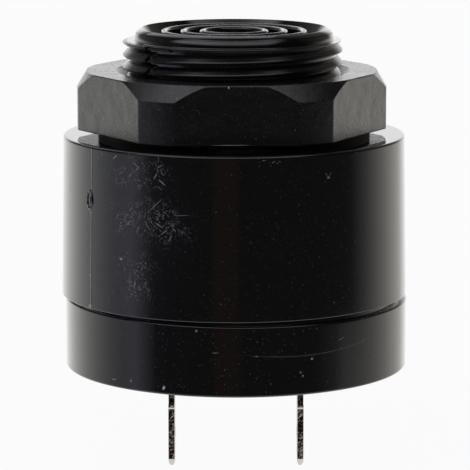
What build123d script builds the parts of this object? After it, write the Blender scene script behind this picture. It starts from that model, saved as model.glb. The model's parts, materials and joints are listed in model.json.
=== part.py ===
from build123d import *
import os
from math import cos, radians, sin

# Panel-mount piezo buzzer, in millimetres.
# The origin lies on the axis of the threaded nose, in the plane of the rear cover's back face.
# +Z points along the nose towards the sound outlet, and the two blades point along -Z.

# Housing body, drafted so that it is widest at the seam
BODY_RADIUS_REAR = 21.88
BODY_RADIUS_FRONT = 21.55
BODY_REAR_Z = 9.25
BODY_FRONT_Z = 29.35
BODY_EDGE = 0.3
CAVITY_RADIUS = 19.5
FRONT_WALL = 2.35

# Round boss that meets the panel, and the seat plane on it
BOSS_RADIUS = 17.1
SEAT_Z = 30.1

# Threaded length of the nose, at the outer diameter of its fine moulded thread
THREAD_RADIUS = 13.6
THREAD_TOP_Z = 41.2

# Nose end: neck, bevel, rim and the dished sound outlet
NECK_RADIUS = 12.6
NECK_TOP_RADIUS = 12.3
NECK_TOP_Z = 42.1
RIM_OUTER_RADIUS = 11.72
RIM_INNER_RADIUS = 11.56
NOSE_TOP_Z = 42.65
DISH_RADIUS = 10.35

# Sound outlet: rings on a floor with ring-shaped slots, broken by spokes
GRILLE_FLOOR_Z = 40.9
GRILLE_BACK_Z = 39.6
RING_OUTER_RADII = (9.2, 6.75, 4.35)
RING_WALL = 0.8
RING_TOP_Z = 42.45
CENTRE_FLOOR_Z = 41.6
SPOKE_COUNT = 6
SPOKE_WIDTH = 1.6
NOSE_BORE_RADIUS = 10.2

# Stepped ring under the front wall: an inner seat and an outer rim that centres the diaphragm
SEAT_RADIUS = 16.0
CENTRING_RADIUS = 17.6
SEAT_RING_RADIUS = 18.7
SEAT_RING_Z = 25.2
CENTRING_RING_Z = 24.0

# Ribs on the cavity wall that hold the circuit board down
RIB_COUNT = 6
RIB_START_ANGLE = 30
RIB_INNER_RADIUS = 18.1
RIB_THICKNESS = 1.2

# Panel nut, resting a little to one side by its play on the thread
NUT_ACROSS_FLATS = 35.7
NUT_CORNER_RADIUS = 19.35
NUT_HEIGHT = 7.3
NUT_TURN = 2.3
NUT_SHIFT_X = -0.12
NUT_CONE_TOP_RADIUS = 18.05
NUT_CONE_DROP = 2.05
NUT_THREAD_PLAY = 0.2
NUT_COUNTERSINK = 0.9

# Rear cover, seated a little to one side by its play in the housing
COVER_SHIFT_X = 0.24
COVER_RADIUS = 21.64
COVER_LIP_Z = 8.9
COVER_LAND_RADIUS = 20.6
COVER_EDGE = 0.25
COVER_FLOOR = 2.5
SPIGOT_RADIUS = 19.2
SPIGOT_INNER_RADIUS = 18.0
SPIGOT_TOP_Z = 12.1

# Quick-connect blades of 6.3 by 0.8, and their tails
BLADE_SPACING = 16.4
BLADE_THICKNESS = 0.8
BLADE_WIDTH = 6.3
BLADE_TIP_Z = -13.2
BLADE_SHOULDER_Z = -5.1
BLADE_TIP_CHAMFER = 1.0
BLADE_TIP_BEVEL = 0.25
BLADE_HOLE_RADIUS = 0.9
BLADE_HOLE_FROM_TIP = 4.1
NECK_WIDTH = 4.1
WING_WIDTH = 5.6
WING_HEIGHT = 1.5
TAIL_WIDTH = 1.6
SLOT_CLEARANCE = 0.1

# Diaphragm and the silicone bead that holds its rim against the centring step
BRASS_RADIUS = 17.5
BRASS_THICKNESS = 0.3
CERAMIC_RADIUS = 12.5
CERAMIC_THICKNESS = 0.25
SEALANT_WIDTH = 0.8

# Circuit board, the slots for the blade tails and their solder
BOARD_RADIUS = 19.1
BOARD_THICKNESS = 1.6
TAIL_SLOT_CLEARANCE = 0.15
TAIL_ABOVE_BOARD = 0.9
TAIL_SOLDER_LENGTH = 3.0
TAIL_SOLDER_WIDTH = 2.2
TAIL_SOLDER_HEIGHT = 0.8
TAIL_SOLDER_TAPER = 30

# Leads from the board to the diaphragm, modelled as eight-sided bars, and their solder
WIRE_RADIUS = 0.38
WIRE_SIDES = 8
WIRE_RISE = 1.6
WIRE_STEP = 2.6
BEAD_RADIUS = 1.0
BEAD_HEIGHT = 0.5
BEAD_TAPER = 25

# Chip parts: length, width, height and the width of each end terminal
CHIP_LENGTH = 3.2
CHIP_WIDTH = 1.6
RESISTOR_HEIGHT = 0.6
CERAMIC_CHIP_HEIGHT = 1.1
CHIP_TERMINAL = 0.5
CHIP_STEP = 0.06

# Moulded packages: body length, width, height and draft, then their flat leads
PACKAGE_LIFT = 0.1
TRANSISTOR_BODY = (2.9, 1.3, 1.05)
TRANSISTOR_DRAFT = 6
TRANSISTOR_LEAD_X = 0.95
TRANSISTOR_LEAD = (0.55, 0.4, 0.15)
DIODE_BODY = (4.3, 2.6, 2.2)
DIODE_DRAFT = 5
DIODE_LEAD = (0.75, 1.5, 0.2)
LEAD_OVERLAP = 0.12
LEAD_KNEE = 0.4

# Aluminium can capacitor on its square base
CAN_RADIUS = 3.15
CAN_TOP_Z = 5.8
CAN_GROOVE_Z = 1.9
CAN_GROOVE_HALF = 0.35
CAN_GROOVE_DEPTH = 0.3
CAN_BASE_SIDE = 6.6
CAN_BASE_HEIGHT = 0.8
CAN_BASE_CHAMFER = 1.4

# Drum choke with square flanges, cut at their corners
CHOKE_HEIGHT = 6.0
CHOKE_FLANGE = 1.1
CHOKE_SIDE = 7.2
CHOKE_CHAMFER = 1.6
CHOKE_HUB_RADIUS = 1.8
CHOKE_WINDING_RADIUS = 3.2

BOARD_TOP_Z = SPIGOT_TOP_Z + BOARD_THICKNESS
BRASS_BACK_Z = SEAT_RING_Z - BRASS_THICKNESS
CERAMIC_BACK_Z = BRASS_BACK_Z - CERAMIC_THICKNESS
ON_BASE = (Align.CENTER, Align.CENTER, Align.MIN)


def turned(*points):
    """A solid turned about Z from its half section, given as (radius, height) points."""
    outline = Polyline(*[(radius, 0, height) for radius, height in points], close=True)
    return revolve(make_face(outline), Axis.Z)


def tube(inner, outer, low, high):
    """A plain ring between two radii and two heights."""
    return turned((inner, low), (outer, low), (outer, high), (inner, high))


def around(count, start=0.0):
    """Evenly spaced angles in degrees."""
    return [start + 360.0 * i / count for i in range(count)]


def drafted_drum(low_radius, low, high_radius, high):
    """A slightly tapered drum, with one ruled face between its two rims."""
    rims = [
        Wire([Edge.make_circle(radius, Plane((0, 0, height)))])
        for radius, height in ((low_radius, low), (high_radius, high))
    ]
    side = Face.make_surface_from_curves(*rims)
    return Solid(Shell([side] + [Face(rim) for rim in rims]))


def body_shell():
    """The drafted body with its broken front edge, the boss and the plain nose, still solid."""
    edge_z = BODY_FRONT_Z - BODY_EDGE
    front = turned(
        (0, edge_z),
        (BODY_RADIUS_FRONT, edge_z),
        (BODY_RADIUS_FRONT - BODY_EDGE, BODY_FRONT_Z),
        (BOSS_RADIUS, BODY_FRONT_Z),
        (BOSS_RADIUS, SEAT_Z),
        (THREAD_RADIUS, SEAT_Z),
        (THREAD_RADIUS, THREAD_TOP_Z),
        (NECK_RADIUS, THREAD_TOP_Z),
        (NECK_TOP_RADIUS, NECK_TOP_Z),
        (RIM_OUTER_RADIUS, NOSE_TOP_Z),
        (RIM_INNER_RADIUS, NOSE_TOP_Z),
        (DISH_RADIUS, GRILLE_FLOOR_Z),
        (0, GRILLE_FLOOR_Z),
    )
    return front + drafted_drum(BODY_RADIUS_REAR, BODY_REAR_Z, BODY_RADIUS_FRONT, edge_z)


def grille_rings():
    """The rings of the sound outlet, which stand up from its floor."""
    return [tube(outer - RING_WALL, outer, GRILLE_BACK_Z, RING_TOP_Z) for outer in RING_OUTER_RADII]


def grille_slots():
    """Ring-shaped slots between the rings, broken by spokes, that let the sound out."""
    outer_radii = (DISH_RADIUS,) + tuple(radius - RING_WALL for radius in RING_OUTER_RADII[:-1])
    height = GRILLE_FLOOR_Z - GRILLE_BACK_Z
    spokes = [
        Pos(0, 0, GRILLE_BACK_Z) * Rot(Z=angle) * Box(2 * THREAD_RADIUS, SPOKE_WIDTH, height, align=ON_BASE)
        for angle in around(SPOKE_COUNT)[: SPOKE_COUNT // 2]
    ]
    rings = [
        tube(inner, outer, GRILLE_BACK_Z, GRILLE_FLOOR_Z)
        for inner, outer in zip(RING_OUTER_RADII, outer_radii)
    ]
    return Part() + rings - spokes


def cavity():
    """The room for the circuit, with the stepped seat ring left standing, and the nose bore."""
    ceiling = BODY_FRONT_Z - FRONT_WALL
    room = Pos(0, 0, BODY_REAR_Z) * Cylinder(CAVITY_RADIUS, ceiling - BODY_REAR_Z, align=ON_BASE)
    room -= turned(
        (SEAT_RADIUS, SEAT_RING_Z),
        (CENTRING_RADIUS, SEAT_RING_Z),
        (CENTRING_RADIUS, CENTRING_RING_Z),
        (SEAT_RING_RADIUS, CENTRING_RING_Z),
        (SEAT_RING_RADIUS, ceiling),
        (SEAT_RADIUS, ceiling),
    )
    bore = Pos(0, 0, ceiling) * Cylinder(NOSE_BORE_RADIUS, GRILLE_BACK_Z - ceiling, align=ON_BASE)
    return room + bore


def board_ribs():
    """Ribs on the cavity wall, from the board up to the front wall."""
    depth = CAVITY_RADIUS - RIB_INNER_RADIUS + FRONT_WALL / 2
    middle = RIB_INNER_RADIUS + depth / 2
    height = BODY_FRONT_Z - FRONT_WALL / 2 - BOARD_TOP_Z
    blank = Pos(middle, 0, BOARD_TOP_Z) * Box(depth, RIB_THICKNESS, height, align=ON_BASE)
    return [Rot(Z=angle) * blank for angle in around(RIB_COUNT, RIB_START_ANGLE)]


def housing():
    """The one moulding: body, boss, nose and sound outlet, hollowed from the rear."""
    centre_radius = RING_OUTER_RADII[-1] - RING_WALL / 2
    centre = Pos(0, 0, GRILLE_BACK_Z) * Cylinder(centre_radius, CENTRE_FLOOR_Z - GRILLE_BACK_Z, align=ON_BASE)
    hollow = body_shell() - cavity() - grille_slots()
    return hollow + grille_rings() + centre + board_ribs()


def panel_nut():
    """Hexagon with turned corners, a coned upper edge and a countersink at the upper mouth of its bore."""
    top = SEAT_Z + NUT_HEIGHT
    hexagon = RegularPolygon(NUT_ACROSS_FLATS / 2, 6, major_radius=False)
    blank = Pos(0, 0, SEAT_Z) * extrude(hexagon, NUT_HEIGHT)
    envelope = turned(
        (0, SEAT_Z),
        (NUT_CORNER_RADIUS, SEAT_Z),
        (NUT_CORNER_RADIUS, top - NUT_CONE_DROP),
        (NUT_CONE_TOP_RADIUS, top),
        (0, top),
    )
    bore_radius = THREAD_RADIUS + NUT_THREAD_PLAY
    bore = turned(
        (0, SEAT_Z),
        (bore_radius, SEAT_Z),
        (bore_radius, top - NUT_COUNTERSINK),
        (bore_radius + NUT_COUNTERSINK, top),
        (0, top),
    )
    return Pos(NUT_SHIFT_X, 0, 0) * (Rot(Z=NUT_TURN) * (blank & envelope) - bore)


def blade_places():
    """Where the two blades stand: the positive one on the left."""
    half = BLADE_SPACING / 2
    return {"positive": COVER_SHIFT_X - half, "negative": COVER_SHIFT_X + half}


def rear_cover():
    """Cap with a solid floor, a stepped top that makes the seam, and the spigot that carries the board."""
    cap = turned(
        (0, 0),
        (COVER_RADIUS - COVER_EDGE, 0),
        (COVER_RADIUS, COVER_EDGE),
        (COVER_RADIUS, COVER_LIP_Z),
        (COVER_LAND_RADIUS, COVER_LIP_Z),
        (COVER_LAND_RADIUS, BODY_REAR_Z),
        (SPIGOT_RADIUS, BODY_REAR_Z),
        (SPIGOT_RADIUS, SPIGOT_TOP_Z),
        (SPIGOT_INNER_RADIUS, SPIGOT_TOP_Z),
        (SPIGOT_INNER_RADIUS, COVER_FLOOR),
        (0, COVER_FLOOR),
    )
    slot = Box(
        BLADE_THICKNESS + 2 * SLOT_CLEARANCE,
        NECK_WIDTH + 2 * SLOT_CLEARANCE,
        COVER_FLOOR,
        align=ON_BASE,
    )
    return Pos(COVER_SHIFT_X, 0, 0) * cap - [Pos(x, 0, 0) * slot for x in blade_places().values()]


def blade(x):
    """One flat blade: chamfered tip, connector hole, neck through the floor, wings on it and a tail."""
    half = BLADE_WIDTH / 2
    tip = half - BLADE_TIP_CHAMFER
    wings_z = COVER_FLOOR + WING_HEIGHT
    tail_z = BOARD_TOP_Z + TAIL_ABOVE_BOARD
    side = [
        (tip, BLADE_TIP_Z),
        (half, BLADE_TIP_Z + BLADE_TIP_CHAMFER),
        (half, BLADE_SHOULDER_Z),
        (NECK_WIDTH / 2, BLADE_SHOULDER_Z),
        (NECK_WIDTH / 2, COVER_FLOOR),
        (WING_WIDTH / 2, COVER_FLOOR),
        (WING_WIDTH / 2, wings_z),
        (TAIL_WIDTH / 2, wings_z),
        (TAIL_WIDTH / 2, tail_z),
    ]
    outline = side + [(-width, z) for width, z in reversed(side)]
    sheet = make_face(Polyline(*[(0, y, z) for y, z in outline], close=True))
    flat = extrude(sheet, BLADE_THICKNESS / 2, dir=(1, 0, 0), both=True)
    end_edges = flat.edges().filter_by(Axis.Y).group_by(Axis.Z)[0]
    flat = chamfer(end_edges, BLADE_TIP_BEVEL, BLADE_TIP_BEVEL * 2, reference=flat.faces().sort_by(Axis.Z)[0])
    hole = Pos(0, 0, BLADE_TIP_Z + BLADE_HOLE_FROM_TIP) * Rot(Y=90) * Cylinder(BLADE_HOLE_RADIUS, BLADE_WIDTH)
    return Pos(x, 0, 0) * (flat - hole)


def circuit_board():
    """Round board with a slot for each blade tail, centred on the cover."""
    board = Pos(COVER_SHIFT_X, 0, SPIGOT_TOP_Z) * Cylinder(BOARD_RADIUS, BOARD_THICKNESS, align=ON_BASE)
    slot = Box(
        BLADE_THICKNESS + TAIL_SLOT_CLEARANCE,
        TAIL_WIDTH + TAIL_SLOT_CLEARANCE,
        BOARD_THICKNESS,
        align=ON_BASE,
    )
    return board - [Pos(x, 0, SPIGOT_TOP_Z) * slot for x in blade_places().values()]


def tail_solder(x):
    """The mound of solder round one blade tail, on the board."""
    base = Rectangle(TAIL_SOLDER_WIDTH, TAIL_SOLDER_LENGTH)
    tail = Box(BLADE_THICKNESS, TAIL_WIDTH, TAIL_SOLDER_HEIGHT, align=ON_BASE)
    mound = extrude(base, TAIL_SOLDER_HEIGHT, taper=TAIL_SOLDER_TAPER) - tail
    return Pos(x, 0, BOARD_TOP_Z) * mound


def chip(height):
    """A chip part on its side terminals, which wrap each end."""
    core = Box(
        CHIP_LENGTH - 2 * CHIP_STEP,
        CHIP_WIDTH - 2 * CHIP_STEP,
        height - 2 * CHIP_STEP,
        align=ON_BASE,
    )
    end = Box(CHIP_TERMINAL, CHIP_WIDTH, height, align=ON_BASE)
    reach = (CHIP_LENGTH - CHIP_TERMINAL) / 2
    return Pos(0, 0, CHIP_STEP) * core + [Pos(x, 0, 0) * end for x in (-reach, reach)]


def bent_lead(reach, width, thickness, top):
    """A flat lead that leaves a moulded body at mid height and bends down to a foot on the board."""
    knee = reach * LEAD_KNEE
    path = [
        (0, top),
        (knee, top),
        (knee + thickness, 0),
        (reach, 0),
        (reach, thickness),
        (knee + 2 * thickness, thickness),
        (knee + thickness, top + thickness),
        (0, top + thickness),
    ]
    sheet = make_face(Polyline(*[(0, y, z) for y, z in path], close=True))
    return extrude(sheet, width / 2, dir=(1, 0, 0), both=True)


def moulded_body(length, width, height, draft):
    """A small moulded package, tapered up and down from its mid height."""
    half = (height - PACKAGE_LIFT) / 2
    middle = Pos(0, 0, PACKAGE_LIFT + half) * Rectangle(length, width)
    return extrude(middle, half, taper=draft) + extrude(middle, -half, taper=draft)


def transistor():
    """Small package with two leads on one side and one on the other."""
    length, width, height = TRANSISTOR_BODY
    lead = Pos(0, width / 2 - LEAD_OVERLAP, 0) * bent_lead(*TRANSISTOR_LEAD, height / 2)
    pair = [Pos(x, 0, 0) * lead for x in (-TRANSISTOR_LEAD_X, TRANSISTOR_LEAD_X)]
    return moulded_body(length, width, height, TRANSISTOR_DRAFT) + pair + Rot(Z=180) * lead


def diode():
    """Moulded rectifier with a lead at each end."""
    length, width, height = DIODE_BODY
    lead = Rot(Z=-90) * Pos(0, length / 2 - LEAD_OVERLAP, 0) * bent_lead(*DIODE_LEAD, height / 2)
    return moulded_body(length, width, height, DIODE_DRAFT) + lead + Rot(Z=180) * lead


def supply_can():
    """Drawn can with a rolled groove near its foot, on a square plastic base with two cut corners."""
    can = turned(
        (0, CAN_BASE_HEIGHT),
        (CAN_RADIUS, CAN_BASE_HEIGHT),
        (CAN_RADIUS, CAN_GROOVE_Z - CAN_GROOVE_HALF),
        (CAN_RADIUS - CAN_GROOVE_DEPTH, CAN_GROOVE_Z),
        (CAN_RADIUS, CAN_GROOVE_Z + CAN_GROOVE_HALF),
        (CAN_RADIUS, CAN_TOP_Z),
        (0, CAN_TOP_Z),
    )
    base = Box(CAN_BASE_SIDE, CAN_BASE_SIDE, CAN_BASE_HEIGHT, align=ON_BASE)
    corners = base.edges().filter_by(Axis.Z).group_by(Axis.X)[-1]
    return can + chamfer(corners, CAN_BASE_CHAMFER)


def choke_core():
    """Ferrite drum: two square flanges on a round hub."""
    plate = Box(CHOKE_SIDE, CHOKE_SIDE, CHOKE_FLANGE, align=ON_BASE)
    flange = chamfer(plate.edges().filter_by(Axis.Z), CHOKE_CHAMFER)
    hub = Cylinder(CHOKE_HUB_RADIUS, CHOKE_HEIGHT, align=ON_BASE)
    return hub + flange + Pos(0, 0, CHOKE_HEIGHT - CHOKE_FLANGE) * flange


def choke_winding():
    """The copper coil between the flanges."""
    return tube(CHOKE_HUB_RADIUS, CHOKE_WINDING_RADIUS, CHOKE_FLANGE, CHOKE_HEIGHT - CHOKE_FLANGE)


def disc_sealant():
    """A three-sided bead in the corner between the back of the diaphragm and the centring step."""
    return turned(
        (CENTRING_RADIUS - SEALANT_WIDTH, BRASS_BACK_Z),
        (CENTRING_RADIUS, BRASS_BACK_Z),
        (CENTRING_RADIUS, BRASS_BACK_Z - SEALANT_WIDTH),
    )


def lead_end(place):
    """Where a lead that starts at a place on the board meets the diaphragm, one step nearer the axis."""
    x, y = place
    distance = (x * x + y * y) ** 0.5
    nearer = (distance - WIRE_STEP) / distance
    return (x * nearer, y * nearer)


def disc_lead(place, top):
    """One insulated lead that rises from the board, steps inwards and ends on its solder bead."""
    end = lead_end(place)
    middle = (BOARD_TOP_Z + top) / 2
    route = Polyline(
        (*place, BOARD_TOP_Z),
        (*place, middle - WIRE_RISE),
        (*end, middle + WIRE_RISE),
        (*end, top - BEAD_HEIGHT),
    )
    start = Plane(origin=route @ 0, z_dir=route % 0)
    return sweep(start * RegularPolygon(WIRE_RADIUS, WIRE_SIDES), path=route, transition=Transition.RIGHT)


def disc_solder(place, top):
    """The flat bead of solder that joins one lead to the diaphragm."""
    bead = extrude(RegularPolygon(BEAD_RADIUS, WIRE_SIDES), BEAD_HEIGHT, taper=BEAD_TAPER)
    return Pos(*lead_end(place), top) * Rot(X=180) * bead


def polar(radius, angle):
    """A place on the board, from its distance to the axis and its angle in degrees."""
    return (radius * cos(radians(angle)), radius * sin(radians(angle)))


# Each lead: its place on the board, and the height of the face that it is soldered to
LEADS = {
    "brass": (polar(17.0, 60), BRASS_BACK_Z),
    "electrode": (polar(10.5, 150), CERAMIC_BACK_Z),
    "feedback": (polar(13.5, 195), CERAMIC_BACK_Z),
}

# What stands on the board: the shape, its place, and its turn in degrees
ON_THE_BOARD = {
    "supply_capacitor": (supply_can(), polar(9.5, 90), 0),
    "choke_core": (choke_core(), polar(10.5, -90), 0),
    "choke_winding": (choke_winding(), polar(10.5, -90), 0),
    "driver_transistor": (transistor(), polar(10.5, -35), 20),
    "oscillator_transistor": (transistor(), polar(10.5, 35), -20),
    "polarity_diode": (diode(), polar(12.0, -145), 35),
    "base_resistor": (chip(RESISTOR_HEIGHT), polar(4.0, 0), 90),
    "feedback_resistor": (chip(RESISTOR_HEIGHT), polar(1.0, 0), 90),
    "supply_resistor": (chip(RESISTOR_HEIGHT), polar(12.5, 125), 35),
    "timing_capacitor": (chip(CERAMIC_CHIP_HEIGHT), polar(2.5, 180), 90),
}

nodes = {
    "housing": housing(),
    "panel_nut": panel_nut(),
    "rear_cover": rear_cover(),
    "brass_disc": tube(0, BRASS_RADIUS, BRASS_BACK_Z, SEAT_RING_Z),
    "ceramic_disc": tube(0, CERAMIC_RADIUS, CERAMIC_BACK_Z, BRASS_BACK_Z),
    "disc_sealant": disc_sealant(),
    "circuit_board": circuit_board(),
}
for name, (shape, place, turn) in ON_THE_BOARD.items():
    nodes[name] = Pos(*place, BOARD_TOP_Z) * Rot(Z=turn) * shape
for name, x in blade_places().items():
    nodes[name + "_blade"] = blade(x)
    nodes[name + "_solder"] = tail_solder(x)
for name, (place, top) in LEADS.items():
    nodes[name + "_wire"] = disc_lead(place, top)
    nodes[name + "_solder"] = disc_solder(place, top)

os.makedirs("parts", exist_ok=True)
for name, shape in nodes.items():
    export_step(shape, "parts/" + name + ".step")
    print(name, round(shape.volume, 2), "cubic millimetres")
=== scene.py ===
# %% [markdown]
# A panel-mount piezo buzzer: black moulded body, threaded nose with a ringed sound outlet,
# hexagon nut, rear cover and two flat blades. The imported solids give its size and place.
# This file gives the surfaces: it keeps the solids of the hidden inner parts, and makes
# finer meshes for the outer ones, where light would show flat facets or a missing thread.

# %% Load the frame
import json
from itertools import product
from math import acos, atan2, ceil, cos, exp, log, pi, radians, sin

import bmesh
import bpy
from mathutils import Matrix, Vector

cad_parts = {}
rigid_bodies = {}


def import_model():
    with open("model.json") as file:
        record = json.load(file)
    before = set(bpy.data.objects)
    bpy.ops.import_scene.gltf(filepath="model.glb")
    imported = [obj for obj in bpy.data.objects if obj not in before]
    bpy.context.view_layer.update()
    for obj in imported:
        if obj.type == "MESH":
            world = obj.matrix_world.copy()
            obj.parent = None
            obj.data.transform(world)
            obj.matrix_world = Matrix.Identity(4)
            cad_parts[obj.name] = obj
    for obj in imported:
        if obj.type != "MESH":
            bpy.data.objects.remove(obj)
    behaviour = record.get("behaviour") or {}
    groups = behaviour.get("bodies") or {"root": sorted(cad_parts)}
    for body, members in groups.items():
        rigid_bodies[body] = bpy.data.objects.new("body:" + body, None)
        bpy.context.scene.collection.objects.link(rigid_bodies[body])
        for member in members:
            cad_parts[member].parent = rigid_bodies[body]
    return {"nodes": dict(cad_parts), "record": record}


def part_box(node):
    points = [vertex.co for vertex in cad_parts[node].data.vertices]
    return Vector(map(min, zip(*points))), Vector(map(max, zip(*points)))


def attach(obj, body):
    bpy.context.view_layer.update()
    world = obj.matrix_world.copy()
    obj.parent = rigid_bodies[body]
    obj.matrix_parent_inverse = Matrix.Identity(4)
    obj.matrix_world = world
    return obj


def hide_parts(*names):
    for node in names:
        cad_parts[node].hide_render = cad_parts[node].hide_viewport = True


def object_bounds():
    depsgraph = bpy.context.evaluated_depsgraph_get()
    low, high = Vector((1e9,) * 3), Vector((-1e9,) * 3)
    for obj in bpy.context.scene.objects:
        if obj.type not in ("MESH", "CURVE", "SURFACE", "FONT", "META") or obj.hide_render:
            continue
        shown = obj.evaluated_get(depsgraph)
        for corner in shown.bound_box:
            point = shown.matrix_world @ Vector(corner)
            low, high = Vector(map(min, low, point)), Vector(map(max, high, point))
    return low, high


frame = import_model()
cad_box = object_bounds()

MM = 0.001


def put_in_scene(name, data):
    """An object that shows this mesh, curve, lamp or camera."""
    made = bpy.data.objects.new(name, data)
    bpy.context.scene.collection.objects.link(made)
    return made


cad_height = (cad_box[1].z - cad_box[0].z) / MM
print("model of", len(frame["nodes"]), "nodes, height", round(cad_height, 2), "mm")

# %% [markdown]
# The photograph was taken with a long lens from a little above. A long lens keeps the
# round edges flat and the sides almost parallel, so the focal length matters as much as
# the direction. The camera looks along +Y and tips down by less than ten degrees.

# %% Camera
# The photograph's side and the lens's focal length, in pixels
PHOTO_SIDE = 470
FOCAL_PIXELS = 2930.5
SENSOR_WIDTH = 36.0
# Where the camera stands and what it can see, in mm, and how far it tips down, in degrees
CAMERA_DISTANCE = 366.6
CAMERA_HEIGHT = 78.68
CAMERA_SIDE = 0.12
CAMERA_DIP = 9.661
NEAREST_SEEN = 10.0
FARTHEST_SEEN = 10000.0


def make_camera():
    lens = bpy.data.cameras.new("camera")
    lens.sensor_width = SENSOR_WIDTH
    lens.lens = SENSOR_WIDTH * FOCAL_PIXELS / PHOTO_SIDE
    lens.clip_start = NEAREST_SEEN * MM
    lens.clip_end = FARTHEST_SEEN * MM
    camera = put_in_scene("camera", lens)
    camera.location = Vector((CAMERA_SIDE, -CAMERA_DISTANCE, CAMERA_HEIGHT)) * MM
    camera.rotation_euler = (radians(90 - CAMERA_DIP), 0, 0)
    return camera


bpy.context.scene.camera = make_camera()
bpy.context.scene.view_settings.view_transform = "Standard"
print("lens", round(bpy.context.scene.camera.data.lens, 1), "mm")

# %% [markdown]
# Materials, the world's light and some of the shapes are trees of nodes. A few helpers keep
# the trees short: the first adds a node and fills its sockets, and most of the others add
# one kind of node that many trees need and give back what comes out of it.

# %% Node helpers
WHITE = (1.0, 1.0, 1.0, 1.0)


def add(tree, kind, sockets=None, **settings):
    """Adds a node. sockets maps a socket's name or place to a value or to a node's output."""
    made = tree.nodes.new(kind)
    for key, value in settings.items():
        setattr(made, key, value)
    for key, value in (sockets or {}).items():
        if isinstance(value, bpy.types.NodeSocket):
            tree.links.new(value, made.inputs[key])
        else:
            made.inputs[key].default_value = value
    return made


def calc(tree, operation, *values):
    """One step of arithmetic on numbers."""
    return add(tree, "ShaderNodeMath", dict(enumerate(values)), operation=operation).outputs[0]


def calc_vector(tree, operation, *values):
    """One step of arithmetic on vectors."""
    return add(tree, "ShaderNodeVectorMath", dict(enumerate(values)), operation=operation).outputs[0]


def split(tree, vector):
    """A vector's X, Y and Z."""
    return add(tree, "ShaderNodeSeparateXYZ", {0: vector}).outputs


def remap(tree, value, low, high, to_low=0.0, to_high=1.0, soft=False):
    """Maps a range to another one and clamps it."""
    curve = "SMOOTHSTEP" if soft else "LINEAR"
    sockets = {"Value": value, "From Min": low, "From Max": high, "To Min": to_low, "To Max": to_high}
    return add(tree, "ShaderNodeMapRange", sockets, interpolation_type=curve).outputs[0]


def blend_colour(tree, amount, first, second):
    """Mixes two colours."""
    mix = add(tree, "ShaderNodeMix", {0: amount, 6: first, 7: second}, data_type="RGBA")
    return mix.outputs[2]


def blend_value(tree, amount, first, second):
    """Mixes two numbers."""
    return add(tree, "ShaderNodeMix", {0: amount, 2: first, 3: second}, data_type="FLOAT").outputs[0]


def noise(tree, vector, scale, detail=2.0, roughness=0.5):
    """Soft noise from 0 to 1."""
    sockets = {"Vector": vector, "Scale": scale, "Detail": detail, "Roughness": roughness}
    return add(tree, "ShaderNodeTexNoise", sockets).outputs["Fac"]


def mapped(tree, vector, **sockets):
    """A pattern's coordinates, moved, turned or stretched: Location, Rotation and Scale."""
    return add(tree, "ShaderNodeMapping", {"Vector": vector, **sockets}).outputs[0]


def bumped(tree, height, depth):
    """The surface's direction after a bump of this depth in metres."""
    sockets = {"Height": height, "Distance": depth, "Strength": 1.0}
    return add(tree, "ShaderNodeBump", sockets).outputs[0]


def mix_shaders(tree, amount, first, second):
    """Goes from one shader to another."""
    sockets = {0: amount, 1: first.outputs[0], 2: second.outputs[0]}
    return add(tree, "ShaderNodeMixShader", sockets)


def new_material(name):
    """An empty material, its tree, and the coordinates of the object that wears it."""
    made = bpy.data.materials.new(name)
    made.use_nodes = True
    tree = made.node_tree
    tree.nodes.clear()
    return made, tree, add(tree, "ShaderNodeTexCoord").outputs["Object"]


def finish_material(tree, shader):
    """Joins a shader to the material's output."""
    add(tree, "ShaderNodeOutputMaterial", {"Surface": shader.outputs[0]})


print("node helpers ready")

# %% [markdown]
# The object stood before a white backdrop, and the room in front of it was dark. Black
# gloss plastic shows this at once: its front mirrors the room, its sides mirror the
# backdrop. So the world has a level for each direction: dim in front, rising at the sides,
# white behind, with a cool soft box over the front and a dim warm strip near the camera.
# The camera sees plain white, and so do gloss and glass where the backdrop stands.

# %% World light
# Each stop: how far behind the object the light comes from, from 0 to 1, and its colour
LEFT_STOPS = (
    (0.0, (0.027, 0.027, 0.028)),
    (0.16, (0.03, 0.03, 0.033)),
    (0.22, (0.045, 0.045, 0.055)),
    (0.28, (0.19, 0.19, 0.23)),
    (0.34, (0.34, 0.34, 0.4)),
    (0.43, (0.3, 0.3, 0.35)),
    (0.52, (0.37, 0.375, 0.4)),
    (0.62, (0.51, 0.515, 0.52)),
    (0.72, (0.66, 0.665, 0.65)),
    (0.86, (0.9, 0.9, 0.87)),
    (0.95, (1.0, 1.0, 1.0)),
)
RIGHT_STOPS = (
    (0.0, (0.027, 0.027, 0.028)),
    (0.4, (0.036, 0.036, 0.036)),
    (0.455, (0.055, 0.055, 0.06)),
    (0.55, (0.2, 0.2, 0.205)),
    (0.66, (0.45, 0.43, 0.4)),
    (0.775, (0.68, 0.65, 0.61)),
    (0.9, (0.79, 0.76, 0.72)),
    (0.97, (1.0, 0.98, 0.95)),
)
# What comes from low on the right, where the light reaches further forward
RIGHT_LOW_STOPS = (
    (0.0, (0.027, 0.027, 0.028)),
    (0.22, (0.036, 0.036, 0.036)),
    (0.33, (0.12, 0.12, 0.12)),
    (0.39, (0.25, 0.25, 0.245)),
    (0.5, (0.34, 0.335, 0.32)),
    (0.62, (0.44, 0.43, 0.4)),
    (0.775, (0.67, 0.64, 0.6)),
    (0.9, (0.79, 0.76, 0.72)),
    (0.97, (1.0, 0.98, 0.95)),
)
# A direction goes so far to the right, to the back and up, each from -1 to 1. From here on
# a pair of such numbers says where a light starts and where it is whole.
LOW_LIGHT = (-0.165, -0.212)
RIGHT_SIDE = (-0.2, 0.2)
# The dim strip near the camera
STRIP_COLOUR = (0.055, 0.04, 0.03, 1.0)
STRIP_MIDDLE = -0.095
STRIP_HALF_WIDTH = 0.165
STRIP_WHOLE_WIDTH = 0.132
STRIP_BACK = (-0.6, -0.8)
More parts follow.
